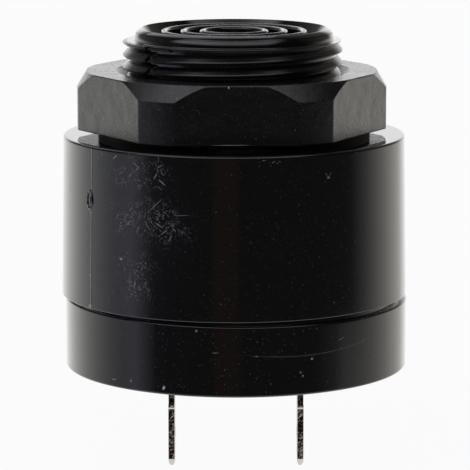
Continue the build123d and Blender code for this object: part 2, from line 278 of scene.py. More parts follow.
# The soft box over the front: its five edges, and how its light drops towards the right
BOX_COLOUR = (0.95, 0.96, 1.0, 1.0)
BOX_FOOT = (0.32, 0.58)
BOX_HEAD = (0.95, 0.84)
BOX_LEFT = (-0.95, -0.8)
BOX_RIGHT = (0.76, 0.56)
BOX_BACK = (0.0, -0.2)
BOX_DROP = (-0.45, -0.1)
BOX_RIGHT_LEVEL = 0.72
# What gloss sees steeply below, in place of the table, which its rays pass through
STEEP_COLOUR = (0.85, 0.85, 0.84, 1.0)
STEEP_LIGHT = (-0.4, -0.65)
# How much of the room's light is left high above
OVERHEAD_LEVEL = 0.15
OVERHEAD_START = (-0.02, 0.18)
# The backdrop, as gloss and glass see it
BACKDROP_SIDES = (0.8, 0.95)
BACKDROP_TOP = (0.42, 0.28)


def level_ramp(tree, place, stops):
    """A colour ramp made of (position, colour) stops."""
    ramp = add(tree, "ShaderNodeValToRGB", {0: place})
    elements = ramp.color_ramp.elements
    while len(elements) < len(stops):
        elements.new(0.5)
    for element, (position, colour) in zip(elements, stops):
        element.position = position
        element.color = (*colour, 1.0)
    return ramp.outputs[0]


def side_light(tree, way):
    """The room's own light, which has other levels on the left and on the right."""
    behind = remap(tree, way["Y"], -1.0, 1.0)
    left = level_ramp(tree, behind, LEFT_STOPS)
    right = level_ramp(tree, behind, RIGHT_STOPS)
    low = remap(tree, way["Z"], *LOW_LIGHT)
    right = blend_colour(tree, low, right, level_ramp(tree, behind, RIGHT_LOW_STOPS))
    return blend_colour(tree, remap(tree, way["X"], *RIGHT_SIDE, soft=True), left, right)


def strip_share(tree, way):
    """1 where the dim strip near the camera is."""
    off_middle = calc(tree, "ABSOLUTE", calc(tree, "SUBTRACT", way["X"], STRIP_MIDDLE))
    strip = remap(tree, off_middle, STRIP_HALF_WIDTH, STRIP_WHOLE_WIDTH)
    return calc(tree, "MULTIPLY", strip, remap(tree, way["Y"], *STRIP_BACK))


def box_share(tree, way):
    """1 where the soft box is, and a little less on its right."""
    box = remap(tree, way["Z"], *BOX_FOOT, soft=True)
    for axis, edge in (("Z", BOX_HEAD), ("X", BOX_LEFT), ("X", BOX_RIGHT), ("Y", BOX_BACK)):
        box = calc(tree, "MULTIPLY", box, remap(tree, way[axis], *edge, soft=True))
    return calc(tree, "MULTIPLY", box, remap(tree, way["X"], *BOX_DROP, 1.0, BOX_RIGHT_LEVEL))


def room_colour(tree, way):
    """The room's light as it comes from each direction."""
    room = side_light(tree, way)
    room = blend_colour(tree, strip_share(tree, way), room, STRIP_COLOUR)
    high = remap(tree, way["Z"], *OVERHEAD_START, 0.0, 1.0 - OVERHEAD_LEVEL, soft=True)
    room = blend_colour(tree, high, room, (0.0, 0.0, 0.0, 1.0))
    room = blend_colour(tree, box_share(tree, way), room, BOX_COLOUR)
    return blend_colour(tree, remap(tree, way["Z"], *STEEP_LIGHT), room, STEEP_COLOUR)


def mirror_rays(tree, ray):
    """1 for the rays that gloss and glass send out."""
    return calc(tree, "MAXIMUM", ray["Is Glossy Ray"], ray["Is Transmission Ray"])


def light_world():
    world = bpy.data.worlds.new("studio")
    world.use_nodes = True
    tree = world.node_tree
    tree.nodes.clear()
    way = split(tree, add(tree, "ShaderNodeTexCoord").outputs["Generated"])
    room = add(tree, "ShaderNodeBackground", {"Color": room_colour(tree, way), "Strength": 1.0})
    backdrop = add(tree, "ShaderNodeBackground", {"Color": WHITE, "Strength": 1.0})
    ray = add(tree, "ShaderNodeLightPath").outputs
    there = remap(tree, way["Y"], *BACKDROP_SIDES)
    there = calc(tree, "MULTIPLY", there, remap(tree, way["Z"], *BACKDROP_TOP))
    mirrored = calc(tree, "MULTIPLY", mirror_rays(tree, ray), there)
    shown = calc(tree, "MAXIMUM", ray["Is Camera Ray"], mirrored)
    mixed = mix_shaders(tree, shown, room, backdrop)
    add(tree, "ShaderNodeOutputWorld", {"Surface": mixed.outputs[0]})
    bpy.context.scene.world = world


light_world()
print("world lit,", len(LEFT_STOPS), "steps of light on each side")

# %% [markdown]
# The buzzer stands on its blade tips on a white table. To the camera the table is almost
# plain white, with a trace of the object's own shadow. Mirror rays pass through it and see
# the backdrop and the room, so that its edge doesn't show as a hard line in the gloss. It is
# clear from below too, where it would hide the underside.

# %% Table
TABLE_FRONT = -300.0
TABLE_BACK = 900.0
TABLE_HALF_WIDTH = 700.0
TABLE_TONES = ((0.86, 0.86, 0.86, 1.0), (0.9, 0.9, 0.9, 1.0))
TABLE_GRAIN = 40.0
TABLE_ROUGHNESS = 0.8
# How much of the table the camera sees as plain white
TABLE_GLOW = 0.95


def table_material():
    made, tree, coords = new_material("table_white")
    tone = blend_colour(tree, noise(tree, coords, TABLE_GRAIN), *TABLE_TONES)
    paint = add(tree, "ShaderNodeBsdfPrincipled", {"Base Color": tone, "Roughness": TABLE_ROUGHNESS})
    white = add(tree, "ShaderNodeEmission", {"Color": WHITE, "Strength": 1.0})
    ray = add(tree, "ShaderNodeLightPath").outputs
    seen = calc(tree, "MULTIPLY", ray["Is Camera Ray"], TABLE_GLOW)
    dressed = mix_shaders(tree, seen, paint, white)
    from_below = add(tree, "ShaderNodeNewGeometry").outputs["Backfacing"]
    away = calc(tree, "MAXIMUM", mirror_rays(tree, ray), from_below)
    clear = add(tree, "ShaderNodeBsdfTransparent")
    finish_material(tree, mix_shaders(tree, away, dressed, clear))
    return made


def make_table(height):
    corners = [
        (-TABLE_HALF_WIDTH, TABLE_FRONT),
        (TABLE_HALF_WIDTH, TABLE_FRONT),
        (TABLE_HALF_WIDTH, TABLE_BACK),
        (-TABLE_HALF_WIDTH, TABLE_BACK),
    ]
    mesh = bpy.data.meshes.new("table")
    mesh.from_pydata([(x * MM, y * MM, height) for x, y in corners], [], [(0, 1, 2, 3)])
    mesh.materials.append(table_material())
    put_in_scene("table", mesh)


make_table(cad_box[0].z)
print("table at", round(cad_box[0].z / MM, 2), "mm")

# %% [markdown]
# One soft lamp from high behind gives the upper faces their sheen. It is large and far,
# so its edges don't show in the gloss.

# %% Lamp
LAMP_PLACE = (-120.0, 420.0, 520.0)
LAMP_SIDE = 500.0
LAMP_POWER = 0.4


def make_lamp():
    light = bpy.data.lights.new("back_softbox", "AREA")
    light.size = LAMP_SIDE * MM
    light.energy = LAMP_POWER
    lamp = put_in_scene("back_softbox", light)
    lamp.location = Vector(LAMP_PLACE) * MM
    lamp.rotation_euler = (-lamp.location).to_track_quat("-Z", "Y").to_euler()


make_lamp()
print("lamp of", LAMP_POWER, "watts")

# %% [markdown]
# Turned shapes come from a half section that is swept round the axis. Real mouldings have
# no sharp edges, so the section's corners are rounded first, each by its own amount.
# The sweep takes a list of angles, which may be closer together where there is detail,
# and a rule that can push any point in or out.


# %% Turned pieces
# How far past a rounded corner the extra point stands that keeps the flat beside it flat
HOLD = 1.35
# Points closer than this, in mm, are one point. Edges sharper than this, in degrees, are hard.
WELD = 0.001
HARD_EDGE = 35
# Pieces are drawn in millimetres, and patterns on their unrolled surfaces in centimetres
MM_TO_CM = 10


def rounded(points, steps=4):
    """Rounds the corners of a closed section of (radius, height, corner size) points."""
    outline = []
    for i, (radius, height, size) in enumerate(points):
        corner = Vector((radius, height))
        if size <= 0:
            outline.append(tuple(corner))
            continue
        before = (Vector(points[i - 1][:2]) - corner).normalized() * size
        after = (Vector(points[(i + 1) % len(points)][:2]) - corner).normalized() * size
        outline.append(tuple(corner + before * HOLD))
        for step in range(steps + 1):
            t = step / steps
            outline.append(tuple(corner + before * (1 - t) ** 2 + after * t ** 2))
        outline.append(tuple(corner + after * HOLD))
    return outline


def even_angles(count, extra=()):
    """Evenly spaced angles in radians, with more of them where asked."""
    return sorted([2 * pi * i / count for i in range(count)] + [angle % (2 * pi) for angle in extra])


def smooth(mesh, hard=HARD_EDGE):
    """Smooth shading, but for the hard edges."""
    mesh.polygons.foreach_set("use_smooth", [True] * len(mesh.polygons))
    mesh.set_sharp_from_angle(angle=radians(hard))


def mesh_piece(name, points, faces, material, hard=HARD_EDGE):
    """A mesh object in metres from points in millimetres."""
    mesh = bpy.data.meshes.new(name)
    mesh.from_pydata([(x * MM, y * MM, z * MM) for x, y, z in points], [], faces)
    shape = bmesh.new()
    shape.from_mesh(mesh)
    bmesh.ops.remove_doubles(shape, verts=shape.verts, dist=WELD * MM)
    bmesh.ops.recalc_face_normals(shape, faces=shape.faces)
    shape.to_mesh(mesh)
    shape.free()
    mesh.materials.append(material)
    smooth(mesh, hard)
    return put_in_scene(name, mesh)


def wrap_map(piece, reach, centre_x=0.0):
    """A UV map that unrolls the piece: along its round side, and up it, in centimetres."""
    layer = piece.data.uv_layers.new(name="wrap")
    vertices = piece.data.vertices
    for face in piece.data.polygons:
        angles = [atan2(vertices[v].co.y, vertices[v].co.x - centre_x * MM) for v in face.vertices]
        turn_over = max(angles) - min(angles) > pi
        for loop, vertex, angle in zip(face.loop_indices, face.vertices, angles):
            if turn_over and angle < 0:
                angle += 2 * pi
            layer.data[loop].uv = (angle * reach / MM_TO_CM, vertices[vertex].co.z / MM / MM_TO_CM)


def ring_faces(columns, rows):
    """The faces of a closed section that is set up in columns once round the axis."""
    faces = []
    for i in range(columns):
        here, there = i * rows, (i + 1) % columns * rows
        for j in range(rows):
            k = (j + 1) % rows
            faces.append((here + j, there + j, there + k, here + k))
    return faces


def turned(name, section, angles, material, rule=None, centre_x=0.0):
    """Sweeps a closed section of (radius, height) points round Z.

    rule(angle, radius, height) may move each point.
    """
    points = []
    for angle in angles:
        for radius, height in section:
            if rule:
                radius, height = rule(angle, radius, height)
            points.append((centre_x + radius * cos(angle), radius * sin(angle), height))
    piece = mesh_piece(name, points, ring_faces(len(angles), len(section)), material)
    wrap_map(piece, max(radius for radius, height in section), centre_x)
    return piece


print("turning tools ready")

# %% [markdown]
# The body and the cover are black moulded plastic with a low gloss. It isn't evenly black:
# handling has left short pale scratches, most of them on the left of the front, over a
# faint bluish haze. Each layer of scratches is a set of stretched cells at its own angle,
# kept only where the wear is, so no two marks look alike and nothing repeats. The patterns
# are laid on the unrolled surface, whose units are centimetres round and centimetres up.

# %% Scratch layers
# Each layer: its angle in degrees, cells to the centimetre, their stretch, and how much of a
# cell a mark fills
SCRATCH_LAYERS = (
    (24.0, 36.0, 8.0, 0.11),
    (-38.0, 40.0, 7.0, 0.105),
    (58.0, 43.0, 6.5, 0.115),
    (-72.0, 38.0, 8.0, 0.105),
    (84.0, 46.0, 6.0, 0.105),
    (-20.0, 50.0, 5.5, 0.125),
)
# The slow bend of all the marks: waves to the centimetre, and how far it moves a mark
BEND_WAVES = 2.2
BEND_REACH = 0.12
# How far each layer is moved from the one before, so that their cells don't line up
LAYER_STEP = (3.7, 1.9)
# A mark is whole within this share of its size. Each cell has a chance number: below the
# first of the pair it has no mark, and from the second on its mark is at its strongest.
WHOLE_MARK = 0.35
MARK_CHANCE = (0.35, 0.95)


def scratch_layer(tree, wrap, angle, cells, stretch, fill, number):
    """Short marks that all lie at one angle, as a share from 0 to 1."""
    bend = add(tree, "ShaderNodeTexNoise", {"Vector": wrap, "Scale": BEND_WAVES, "Detail": 1.0})
    bent = calc_vector(tree, "MULTIPLY", bend.outputs["Color"], (BEND_REACH,) * 3)
    moved = calc_vector(tree, "ADD", wrap, bent)
    place = (number * LAYER_STEP[0], number * LAYER_STEP[1], 0.0)
    placed = mapped(tree, moved, Location=place, Rotation=(0, 0, radians(angle)))
    squeezed = mapped(tree, placed, Scale=(cells / stretch, cells, 1.0))
    cell = add(tree, "ShaderNodeTexVoronoi", {"Vector": squeezed, "Scale": 1.0}, voronoi_dimensions="2D")
    near = remap(tree, cell.outputs["Distance"], fill, fill * WHOLE_MARK)
    chance = add(tree, "ShaderNodeSeparateColor", {0: cell.outputs["Color"]}).outputs[0]
    return calc(tree, "MULTIPLY", near, remap(tree, chance, *MARK_CHANCE))


def spot(tree, wrap, place, size, angle=0.0, inner=0.0):
    """A soft oval on the unrolled surface: 0 outside its size, rising to 1 at inner of it."""
    offset = calc_vector(tree, "SUBTRACT", wrap, (*place, 0.0))
    if angle:
        offset = mapped(tree, offset, Rotation=(0, 0, radians(-angle)))
    scaled = calc_vector(tree, "MULTIPLY", offset, (1 / size[0], 1 / size[1], 1.0))
    far = add(tree, "ShaderNodeVectorMath", {0: scaled}, operation="LENGTH").outputs["Value"]
    return remap(tree, far, 1.0, inner, soft=True)


def union(tree, masks):
    """The largest of several masks."""
    total = masks[0]
    for mask in masks[1:]:
        total = calc(tree, "MAXIMUM", total, mask)
    return total


print(len(SCRATCH_LAYERS), "layers of scratches")

# %% [markdown]
# The marks on a piece come from four makers: crowds of scratches in the worn places, specks
# of dust all over, single marks that are placed one by one, and one long arc on the cover.

# %% Marks on the plastic
# The wear comes and goes in patches: waves to the centimetre, and where the noise counts
PATCHES = 3.1
PATCH_RANGE = (0.38, 0.55)
# A worn place and a single mark are whole within these shares of their sizes
WORN_MIDDLE = 0.3
MARK_MIDDLE = 0.45
# Each size of dust: cells to the metre, and the share of cells without a speck
DUST_SIZES = ((1900.0, 0.985), (3600.0, 0.93), (5200.0, 0.88))
# A speck's edge and its whole middle, as shares of a cell
SPECK = (0.26, 0.08)
# The long arc on the cover: its lowest point, how fast it bends up from there, how far its
# middle is from there, and its half width and half length, each at its edge and where whole
ARC_LOWEST = (-2.61, 0.489)
ARC_BEND = 0.085
ARC_MIDDLE = 0.35
ARC_LINE = (0.009, 0.003)
ARC_HALF_LENGTH = (1.1, 0.6)
ARC_LIGHT = 0.1


def rub_marks(tree, wrap, worn):
    """Crowds of short scratches in the worn places."""
    layers = [scratch_layer(tree, wrap, *layer, i) for i, layer in enumerate(SCRATCH_LAYERS, start=1)]
    zone = union(tree, [spot(tree, wrap, place, size, inner=WORN_MIDDLE) for place, size in worn])
    patchy = remap(tree, noise(tree, wrap, PATCHES, detail=3.0), *PATCH_RANGE)
    return calc(tree, "MULTIPLY", union(tree, layers), calc(tree, "MULTIPLY", zone, patchy))


def dust_marks(tree, coords, light):
    """Rare light specks all over, in three sizes."""
    sizes = []
    for scale, bare in DUST_SIZES:
        dots = add(tree, "ShaderNodeTexVoronoi", {"Vector": coords, "Scale": scale})
        chance = add(tree, "ShaderNodeSeparateColor", {0: dots.outputs["Color"]}).outputs[0]
        rare = remap(tree, chance, bare, 1.0)
        sizes.append(calc(tree, "MULTIPLY", rare, remap(tree, dots.outputs["Distance"], *SPECK)))
    return calc(tree, "MULTIPLY", union(tree, sizes), light)


def single_mark(tree, wrap, place, size, angle, light):
    """One mark that is placed where its listed entry says."""
    return calc(tree, "MULTIPLY", spot(tree, wrap, place, size, angle, MARK_MIDDLE), light)


def long_arc(tree, wrap):
    """The one long faint scratch that curves along the cover."""
    place = split(tree, wrap)
    along = calc(tree, "SUBTRACT", place["X"], ARC_LOWEST[0])
    curve = calc(tree, "MULTIPLY_ADD", calc(tree, "MULTIPLY", along, along), ARC_BEND, ARC_LOWEST[1])
    off = calc(tree, "ABSOLUTE", calc(tree, "SUBTRACT", place["Y"], curve))
    line = remap(tree, off, *ARC_LINE)
    from_middle = calc(tree, "ABSOLUTE", calc(tree, "SUBTRACT", along, ARC_MIDDLE))
    reach = remap(tree, from_middle, *ARC_HALF_LENGTH)
    return calc(tree, "MULTIPLY", calc(tree, "MULTIPLY", line, reach), ARC_LIGHT)


print("dust in", len(DUST_SIZES), "sizes")

# %% [markdown]
# One recipe serves every black moulding. What changes from piece to piece is its gloss,
# the grain of the mould, and where the wear is, so those are what the recipe asks for.
# A clear coat over the plastic stands for the skin that the polished mould leaves.

# %% Recipe for black plastic
# Slow clouds change the tone and the gloss a little. Scales are in waves to the metre.
CLOUD_SCALE = 160.0
CLOUD_RANGE = (0.3, 0.7)
DARKEST = 0.75
DENT_SCALE = 420.0
# The bluish haze lies on the unrolled surface, so its scale is in waves to the centimetre
HAZE_SCALE = 26.0
HAZE_RANGE = (0.35, 0.75)
HAZE_COLOUR = (0.03, 0.03, 0.042, 1.0)
HAZE_ROUGHNESS = 0.45
MARK_COLOUR = (0.8, 0.8, 0.84, 1.0)
MARK_ROUGHNESS = 0.7


def black_plastic(
    name, tone, gloss, skin, grain, waves, polish=1.0, worn=(), hazed=(), strokes=(), dust=0.2, arc=False
):
    """Black moulded plastic.

    tone is its colour, gloss its lowest and highest roughness, skin the roughness of the
    polished skin and polish the skin's share. grain is the bump's scale and depth, waves the
    depth of soft dents. worn and hazed hold a (place, size) for each patch on the unrolled
    surface, strokes a (place, size, angle, light) for each single mark. dust is the light of
    the specks, and arc adds the long scratch.
    """
    made, tree, coords = new_material(name)
    wrap = add(tree, "ShaderNodeUVMap", uv_map="wrap").outputs[0]
    cloud = noise(tree, coords, CLOUD_SCALE, detail=4.0, roughness=0.6)
    rough = remap(tree, cloud, *CLOUD_RANGE, *gloss)
    dark = tuple(part * DARKEST for part in tone)
    colour = blend_colour(tree, cloud, (*dark, 1.0), (*tone, 1.0))
    marks = [dust_marks(tree, coords, dust)]
    if worn:
        marks.append(rub_marks(tree, wrap, worn))
    if hazed:
        haze = union(tree, [spot(tree, wrap, place, size) for place, size in hazed])
        fine = remap(tree, noise(tree, wrap, HAZE_SCALE, detail=4.0, roughness=0.75), *HAZE_RANGE)
        dusty = calc(tree, "MULTIPLY", haze, fine)
        colour = blend_colour(tree, dusty, colour, HAZE_COLOUR)
        rough = blend_value(tree, dusty, rough, HAZE_ROUGHNESS)
    marks += [single_mark(tree, wrap, *stroke) for stroke in strokes]
    if arc:
        marks.append(long_arc(tree, wrap))
    marked = union(tree, marks)
    colour = blend_colour(tree, marked, colour, MARK_COLOUR)
    rough = blend_value(tree, marked, rough, MARK_ROUGHNESS)
    grain_scale, grain_depth = grain
    fine_grain = noise(tree, coords, grain_scale, detail=3.0, roughness=0.6)
    fine_grain = calc(tree, "MULTIPLY", fine_grain, grain_depth)
    dents = noise(tree, coords, DENT_SCALE, detail=1.0)
    bump = bumped(tree, calc(tree, "MULTIPLY_ADD", dents, waves, fine_grain), MM)
    sockets = {
        "Base Color": colour,
        "Roughness": rough,
        "Normal": bump,
        "IOR": 1.5,
        "Coat Weight": polish,
        "Coat Roughness": skin,
        "Coat Normal": bump,
    }
    finish_material(tree, add(tree, "ShaderNodeBsdfPrincipled", sockets))
    return made


print("recipe for black plastic ready")

# %% [markdown]
# The eye knows the real buzzer by its clearest marks, so these are set one by one where
# the photograph shows them: most on the upper left of the body, a few on the cover and the
# nut. Each is a soft oval, so long that it looks like a scratch, or short like a nick.

# %% Single marks
# For each mark: its place in centimetres round and up, its half sizes, its lean and its light
HOUSING_STROKES = (
    ((-5.03, 2.855), (0.055, 0.0072), 35, 0.8),
    ((-5.27, 2.86), (0.035, 0.0048), 85, 0.4),
    ((-4.38, 2.87), (0.05, 0.0048), 88, 0.35),
    ((-4.7, 2.79), (0.075, 0.0054), -40, 0.45),
    ((-4.68, 2.74), (0.06, 0.0054), 50, 0.4),
    ((-4.78, 2.66), (0.05, 0.006), 55, 0.4),
    ((-4.36, 2.79), (0.07, 0.0072), 30, 0.35),
    ((-4.42, 2.67), (0.055, 0.0084), 60, 0.5),
    ((-4.33, 2.6), (0.075, 0.0072), -35, 0.6),
    ((-4.36, 2.53), (0.05, 0.0054), -40, 0.35),
    ((-4.43, 2.31), (0.16, 0.0048), 42, 0.5),
    ((-4.08, 2.215), (0.13, 0.0048), 4, 0.35),
    ((-4.86, 2.13), (0.075, 0.0054), 62, 0.4),
    ((-4.81, 2.07), (0.06, 0.0054), 50, 0.5),
    ((-4.52, 2.05), (0.075, 0.006), -50, 0.4),
    ((-4.37, 2.08), (0.08, 0.006), -30, 0.55),
    ((-4.3, 2.0), (0.07, 0.006), 35, 0.5),
    ((-4.22, 1.93), (0.06, 0.0066), 65, 0.5),
    ((-4.18, 2.05), (0.07, 0.0048), -55, 0.35),
    ((-4.92, 1.62), (0.028, 0.02), 0, 0.6),
    ((-4.78, 1.38), (0.16, 0.0042), 88, 0.35),
    ((-4.71, 1.33), (0.07, 0.0054), 80, 0.5),
    ((-4.55, 1.35), (0.06, 0.006), 70, 0.3),
    ((-5.5, 0.955), (0.05, 0.03), 20, 0.5),
    ((-5.52, 2.275), (0.02, 0.085), 4, 0.3),
    ((-5.5, 2.115), (0.012, 0.03), 0, 0.25),
    ((-5.5, 1.35), (0.012, 0.03), 0, 0.4),
    ((-2.22, 2.64), (0.03, 0.02), 0, 0.35),
    ((-2.19, 2.68), (0.035, 0.0054), 50, 0.25),
    ((-2.25, 2.68), (0.035, 0.0054), -50, 0.25),
    ((-2.95, 2.865), (0.03, 0.006), 15, 0.35),
    ((-2.9, 2.852), (0.012, 0.008), 0, 0.3),
    ((-2.87, 2.868), (0.02, 0.005), -30, 0.25),
    ((-3.07, 2.885), (0.03, 0.006), 5, 0.35),
)
COVER_STROKES = (
    ((-4.3, 0.085), (0.035, 0.02), 65, 1.0),
    ((-4.77, 0.12), (0.015, 0.02), 0, 0.5),
    ((-5.05, 0.1), (0.05, 0.01), 5, 0.5),
    ((-2.45, 0.44), (0.016, 0.016), 0, 0.9),
    ((-2.03, 0.645), (0.06, 0.008), 20, 0.3),
    ((-3.65, 0.553), (0.05, 0.009), 3, 0.25),
    ((-3.88, 0.815), (0.02, 0.02), 0, 0.4),
    ((-2.6, 0.285), (0.016, 0.02), 30, 0.4),
    ((-2.57, 0.24), (0.016, 0.02), -30, 0.4),
    ((-3.15, 0.51), (0.025, 0.012), 0, 0.3),
)
NUT_STROKES = (
    ((-3.06, 3.025), (0.3, 0.006), 0, 0.5),
    ((-3.09, 3.72), (0.017, 0.017), 0, 0.75),
)
print(len(HOUSING_STROKES) + len(COVER_STROKES) + len(NUT_STROKES), "single marks")

# %% [markdown]
# Five finishes come from the recipe. The body and the cover are the glossiest. The nut is
# duller, with a fine grain all over. The low boss under it is matt and stays dark in the
# nut's shade, and the thread has a thin gloss that gives each ridge its bright line.

# %% The black plastics
BLACK = (0.009, 0.009, 0.0095)
DEEP_BLACK = (0.007, 0.007, 0.0075)
HOUSING_PLASTIC = black_plastic(
    "housing_plastic",
    BLACK,
    gloss=(0.05, 0.11),
    skin=0.03,
    grain=(2600.0, 0.001),
    waves=0.001,
    worn=(
        ((-4.7, 2.7), (0.62, 0.3)),
        ((-4.45, 2.1), (0.75, 0.4)),
        ((-4.95, 2.15), (0.35, 0.3)),
        ((-4.7, 1.45), (0.4, 0.5)),
    ),
    hazed=(((-4.85, 2.0), (1.1, 1.5)), ((-4.9, 1.2), (0.9, 0.9))),
    strokes=HOUSING_STROKES,
    dust=0.3,
)
COVER_PLASTIC = black_plastic(
    "cover_plastic",
    BLACK,
    gloss=(0.07, 0.14),
    skin=0.04,
    grain=(2600.0, 0.001),
    waves=0.001,
    strokes=COVER_STROKES,
    dust=0.45,
    arc=True,
)
NUT_PLASTIC = black_plastic(
    "nut_plastic",
    DEEP_BLACK,
    gloss=(0.2, 0.32),
    skin=0.12,
    polish=0.85,
    grain=(5000.0, 0.05),
    waves=0.08,
    strokes=NUT_STROKES,
    dust=0.35,
)
BOSS_PLASTIC = black_plastic(
    "boss_plastic",
    DEEP_BLACK,
    gloss=(0.6, 0.75),
    skin=0.5,
    polish=0.0,
    grain=(2400.0, 0.006),
    waves=0.002,
)
THREAD_PLASTIC = black_plastic(
    "thread_plastic",
    BLACK,
    gloss=(0.16, 0.26),
    skin=0.07,
    polish=0.45,
    grain=(2600.0, 0.004),
    waves=0.004,
)
black_plastics = (HOUSING_PLASTIC, COVER_PLASTIC, NUT_PLASTIC, BOSS_PLASTIC, THREAD_PLASTIC)
print("black plastics:", [plastic.name for plastic in black_plastics])

# %% [markdown]
# The housing is one moulding, and its section is drawn once, from the rear of the body up
# to the nose and back down inside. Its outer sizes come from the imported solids' boxes, and
# the others repeat the sizes that the solids were drawn with or refine them.

# %% Housing sizes
HOUSING_LOW, HOUSING_HIGH = (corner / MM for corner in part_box("housing"))
NUT_LOW, NUT_HIGH = (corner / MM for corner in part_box("panel_nut"))
BODY_REAR_Z = HOUSING_LOW.z
NOSE_TOP_Z = HOUSING_HIGH.z
BODY_RADIUS_REAR = HOUSING_HIGH.x
DRAFT = 0.33
BODY_FRONT_Z = 29.35
BOSS_RADIUS = 17.1
SEAT_Z = NUT_LOW.z
CAVITY_RADIUS = 19.5
DISC_SEAT_RADIUS = 16.0
DISC_SEAT_Z = 25.2
CENTRING_RADIUS = 17.6
CENTRING_Z = 24.0
SEAT_RING_RADIUS = 18.7
THREAD_ROOT_RADIUS = 12.85
THREAD_CREST_RADIUS = 13.6
THREAD_TOP_Z = 41.2
GRILLE_BACK_Z = 39.6
GRILLE_FLOOR_Z = 40.9
DISH_RADIUS = 10.35
BORE_RADIUS = 10.2
FRONT_WALL = 2.35
# The nose's end above the thread: a thin flange, then a crown that leans in to the dish
FLANGE_RADIUS = 13.45
FLANGE_FOOT_Z = THREAD_TOP_Z - 0.42
FLANGE_LOW_Z = THREAD_TOP_Z - 0.22
FLANGE_HIGH_Z = THREAD_TOP_Z - 0.02
CROWN_FOOT_RADIUS = 12.62
CROWN_WAIST = (12.5, 41.85)
CROWN_SHOULDER = (12.15, 42.42)
CROWN_TOP_RADIUS = 11.64
CROWN_TOP_Z = NOSE_TOP_Z + 0.02
print("body", round(2 * BODY_RADIUS_REAR, 2), "mm across, front at", BODY_FRONT_Z, "mm")

# %% [markdown]
# The body is drafted, so it is widest at the seam. Its two mould halves met on the left of
# the front and the right of the back: a fine raised line runs up the side there. The sweep
# gets a few closely spaced angles at each line, and a rule that lifts the wall on it. The
# low boss that the nut sits on is a piece of its own, because its finish is another one.

# %% Housing body
BODY_COLUMNS = 288
BOSS_COLUMNS = 240
BOSS_BURY = 0.2
PARTING_ANGLES = (radians(216.4), radians(36.4))
PARTING_WIDTH = 0.09
PARTING_HEIGHT = 0.03
# Where the sweep has columns beside a parting line, in widths of the line
PARTING_STEPS = (-2.0, -1.0, -0.4, 0.0, 0.4, 1.0, 2.0)
BODY_FRONT_RADIUS = BODY_RADIUS_REAR - DRAFT - PARTING_HEIGHT
# Anything further out than this is on the body's outer side
OUTER_SIDE = BODY_FRONT_RADIUS - 0.37


def near_parting():
    """Angles close to the parting lines, that the sweep needs to shape them."""
    width = PARTING_WIDTH / BODY_RADIUS_REAR
    return [line + step * width for line in PARTING_ANGLES for step in PARTING_STEPS]


def parting_rule(angle, radius, height):
    """Raises the flash line on the outer side of the body, but not on its rear edge."""
    if radius > OUTER_SIDE and height > BODY_REAR_Z:
        for line in PARTING_ANGLES:
            away = abs(angle - line) * radius
            radius += PARTING_HEIGHT * max(0.0, 1 - away / PARTING_WIDTH)
    return radius, height


BODY_SECTION = rounded(
    [
        (CAVITY_RADIUS, BODY_REAR_Z, 0.1),
        (BODY_RADIUS_REAR - PARTING_HEIGHT, BODY_REAR_Z, 0.12),
        (BODY_FRONT_RADIUS, BODY_FRONT_Z, 0.32),
        (THREAD_ROOT_RADIUS, BODY_FRONT_Z, 0.1),
        (THREAD_ROOT_RADIUS, FLANGE_FOOT_Z, 0.05),
        (FLANGE_RADIUS, FLANGE_LOW_Z, 0.08),
        (FLANGE_RADIUS, FLANGE_HIGH_Z, 0.06),
        (CROWN_FOOT_RADIUS, THREAD_TOP_Z, 0.12),
        (*CROWN_WAIST, 0.3),
        (*CROWN_SHOULDER, 0.26),
        (CROWN_TOP_RADIUS, CROWN_TOP_Z, 0.1),
        (DISH_RADIUS + 0.05, GRILLE_FLOOR_Z, 0.1),
        (DISH_RADIUS, GRILLE_BACK_Z, 0.0),
        (BORE_RADIUS, GRILLE_BACK_Z, 0.0),
        (BORE_RADIUS, BODY_FRONT_Z - FRONT_WALL, 0.0),
        (DISC_SEAT_RADIUS, BODY_FRONT_Z - FRONT_WALL, 0.0),
        (DISC_SEAT_RADIUS, DISC_SEAT_Z, 0.0),
        (CENTRING_RADIUS, DISC_SEAT_Z, 0.0),
        (CENTRING_RADIUS, CENTRING_Z, 0.0),
        (SEAT_RING_RADIUS, CENTRING_Z, 0.0),
        (SEAT_RING_RADIUS, BODY_FRONT_Z - FRONT_WALL, 0.0),
        (CAVITY_RADIUS, BODY_FRONT_Z - FRONT_WALL, 0.0),
    ]
)
body_angles = even_angles(BODY_COLUMNS, near_parting())
housing_body = turned("housing_body", BODY_SECTION, body_angles, HOUSING_PLASTIC, parting_rule)
BOSS_SECTION = rounded(
    [
        (THREAD_ROOT_RADIUS - BOSS_BURY, BODY_FRONT_Z - BOSS_BURY / 2, 0.0),
        (BOSS_RADIUS, BODY_FRONT_Z - BOSS_BURY / 2, 0.0),
        (BOSS_RADIUS, SEAT_Z, 0.08),
        (THREAD_ROOT_RADIUS - BOSS_BURY, SEAT_Z, 0.0),
    ]
)
seat_boss = turned("seat_boss", BOSS_SECTION, even_angles(BOSS_COLUMNS), BOSS_PLASTIC)
print("housing body:", len(housing_body.data.polygons), "faces")

# %% [markdown]
# Where the plastic was let into the mould, a small oval scar was left on the parting line:
# a raised rim round a torn, paler middle. It is a patch of rings that get smaller towards
# its middle, each lifted off the wall by its own height.

# %% Gate mark
GATE_ANGLE = radians(215.6)
GATE_Z = 22.75
GATE_HALF_WIDTH = 0.64
GATE_HALF_HEIGHT = 1.28
# Each ring of the scar: its share of the scar's half size, and how far it stands off the wall
GATE_RINGS = (
    (1.08, -0.06),
    (1.0, 0.0),
    (0.9, 0.13),
    (0.8, 0.14),
    (0.64, -0.04),
    (0.5, -0.05),
    (0.28, 0.07),
)
GATE_STEPS = 48
# How ragged the torn rings are, and which rings are torn
GATE_TEAR = 0.02
GATE_TORN = (0.2, 1.0)
GATE_HARD_EDGE = 60


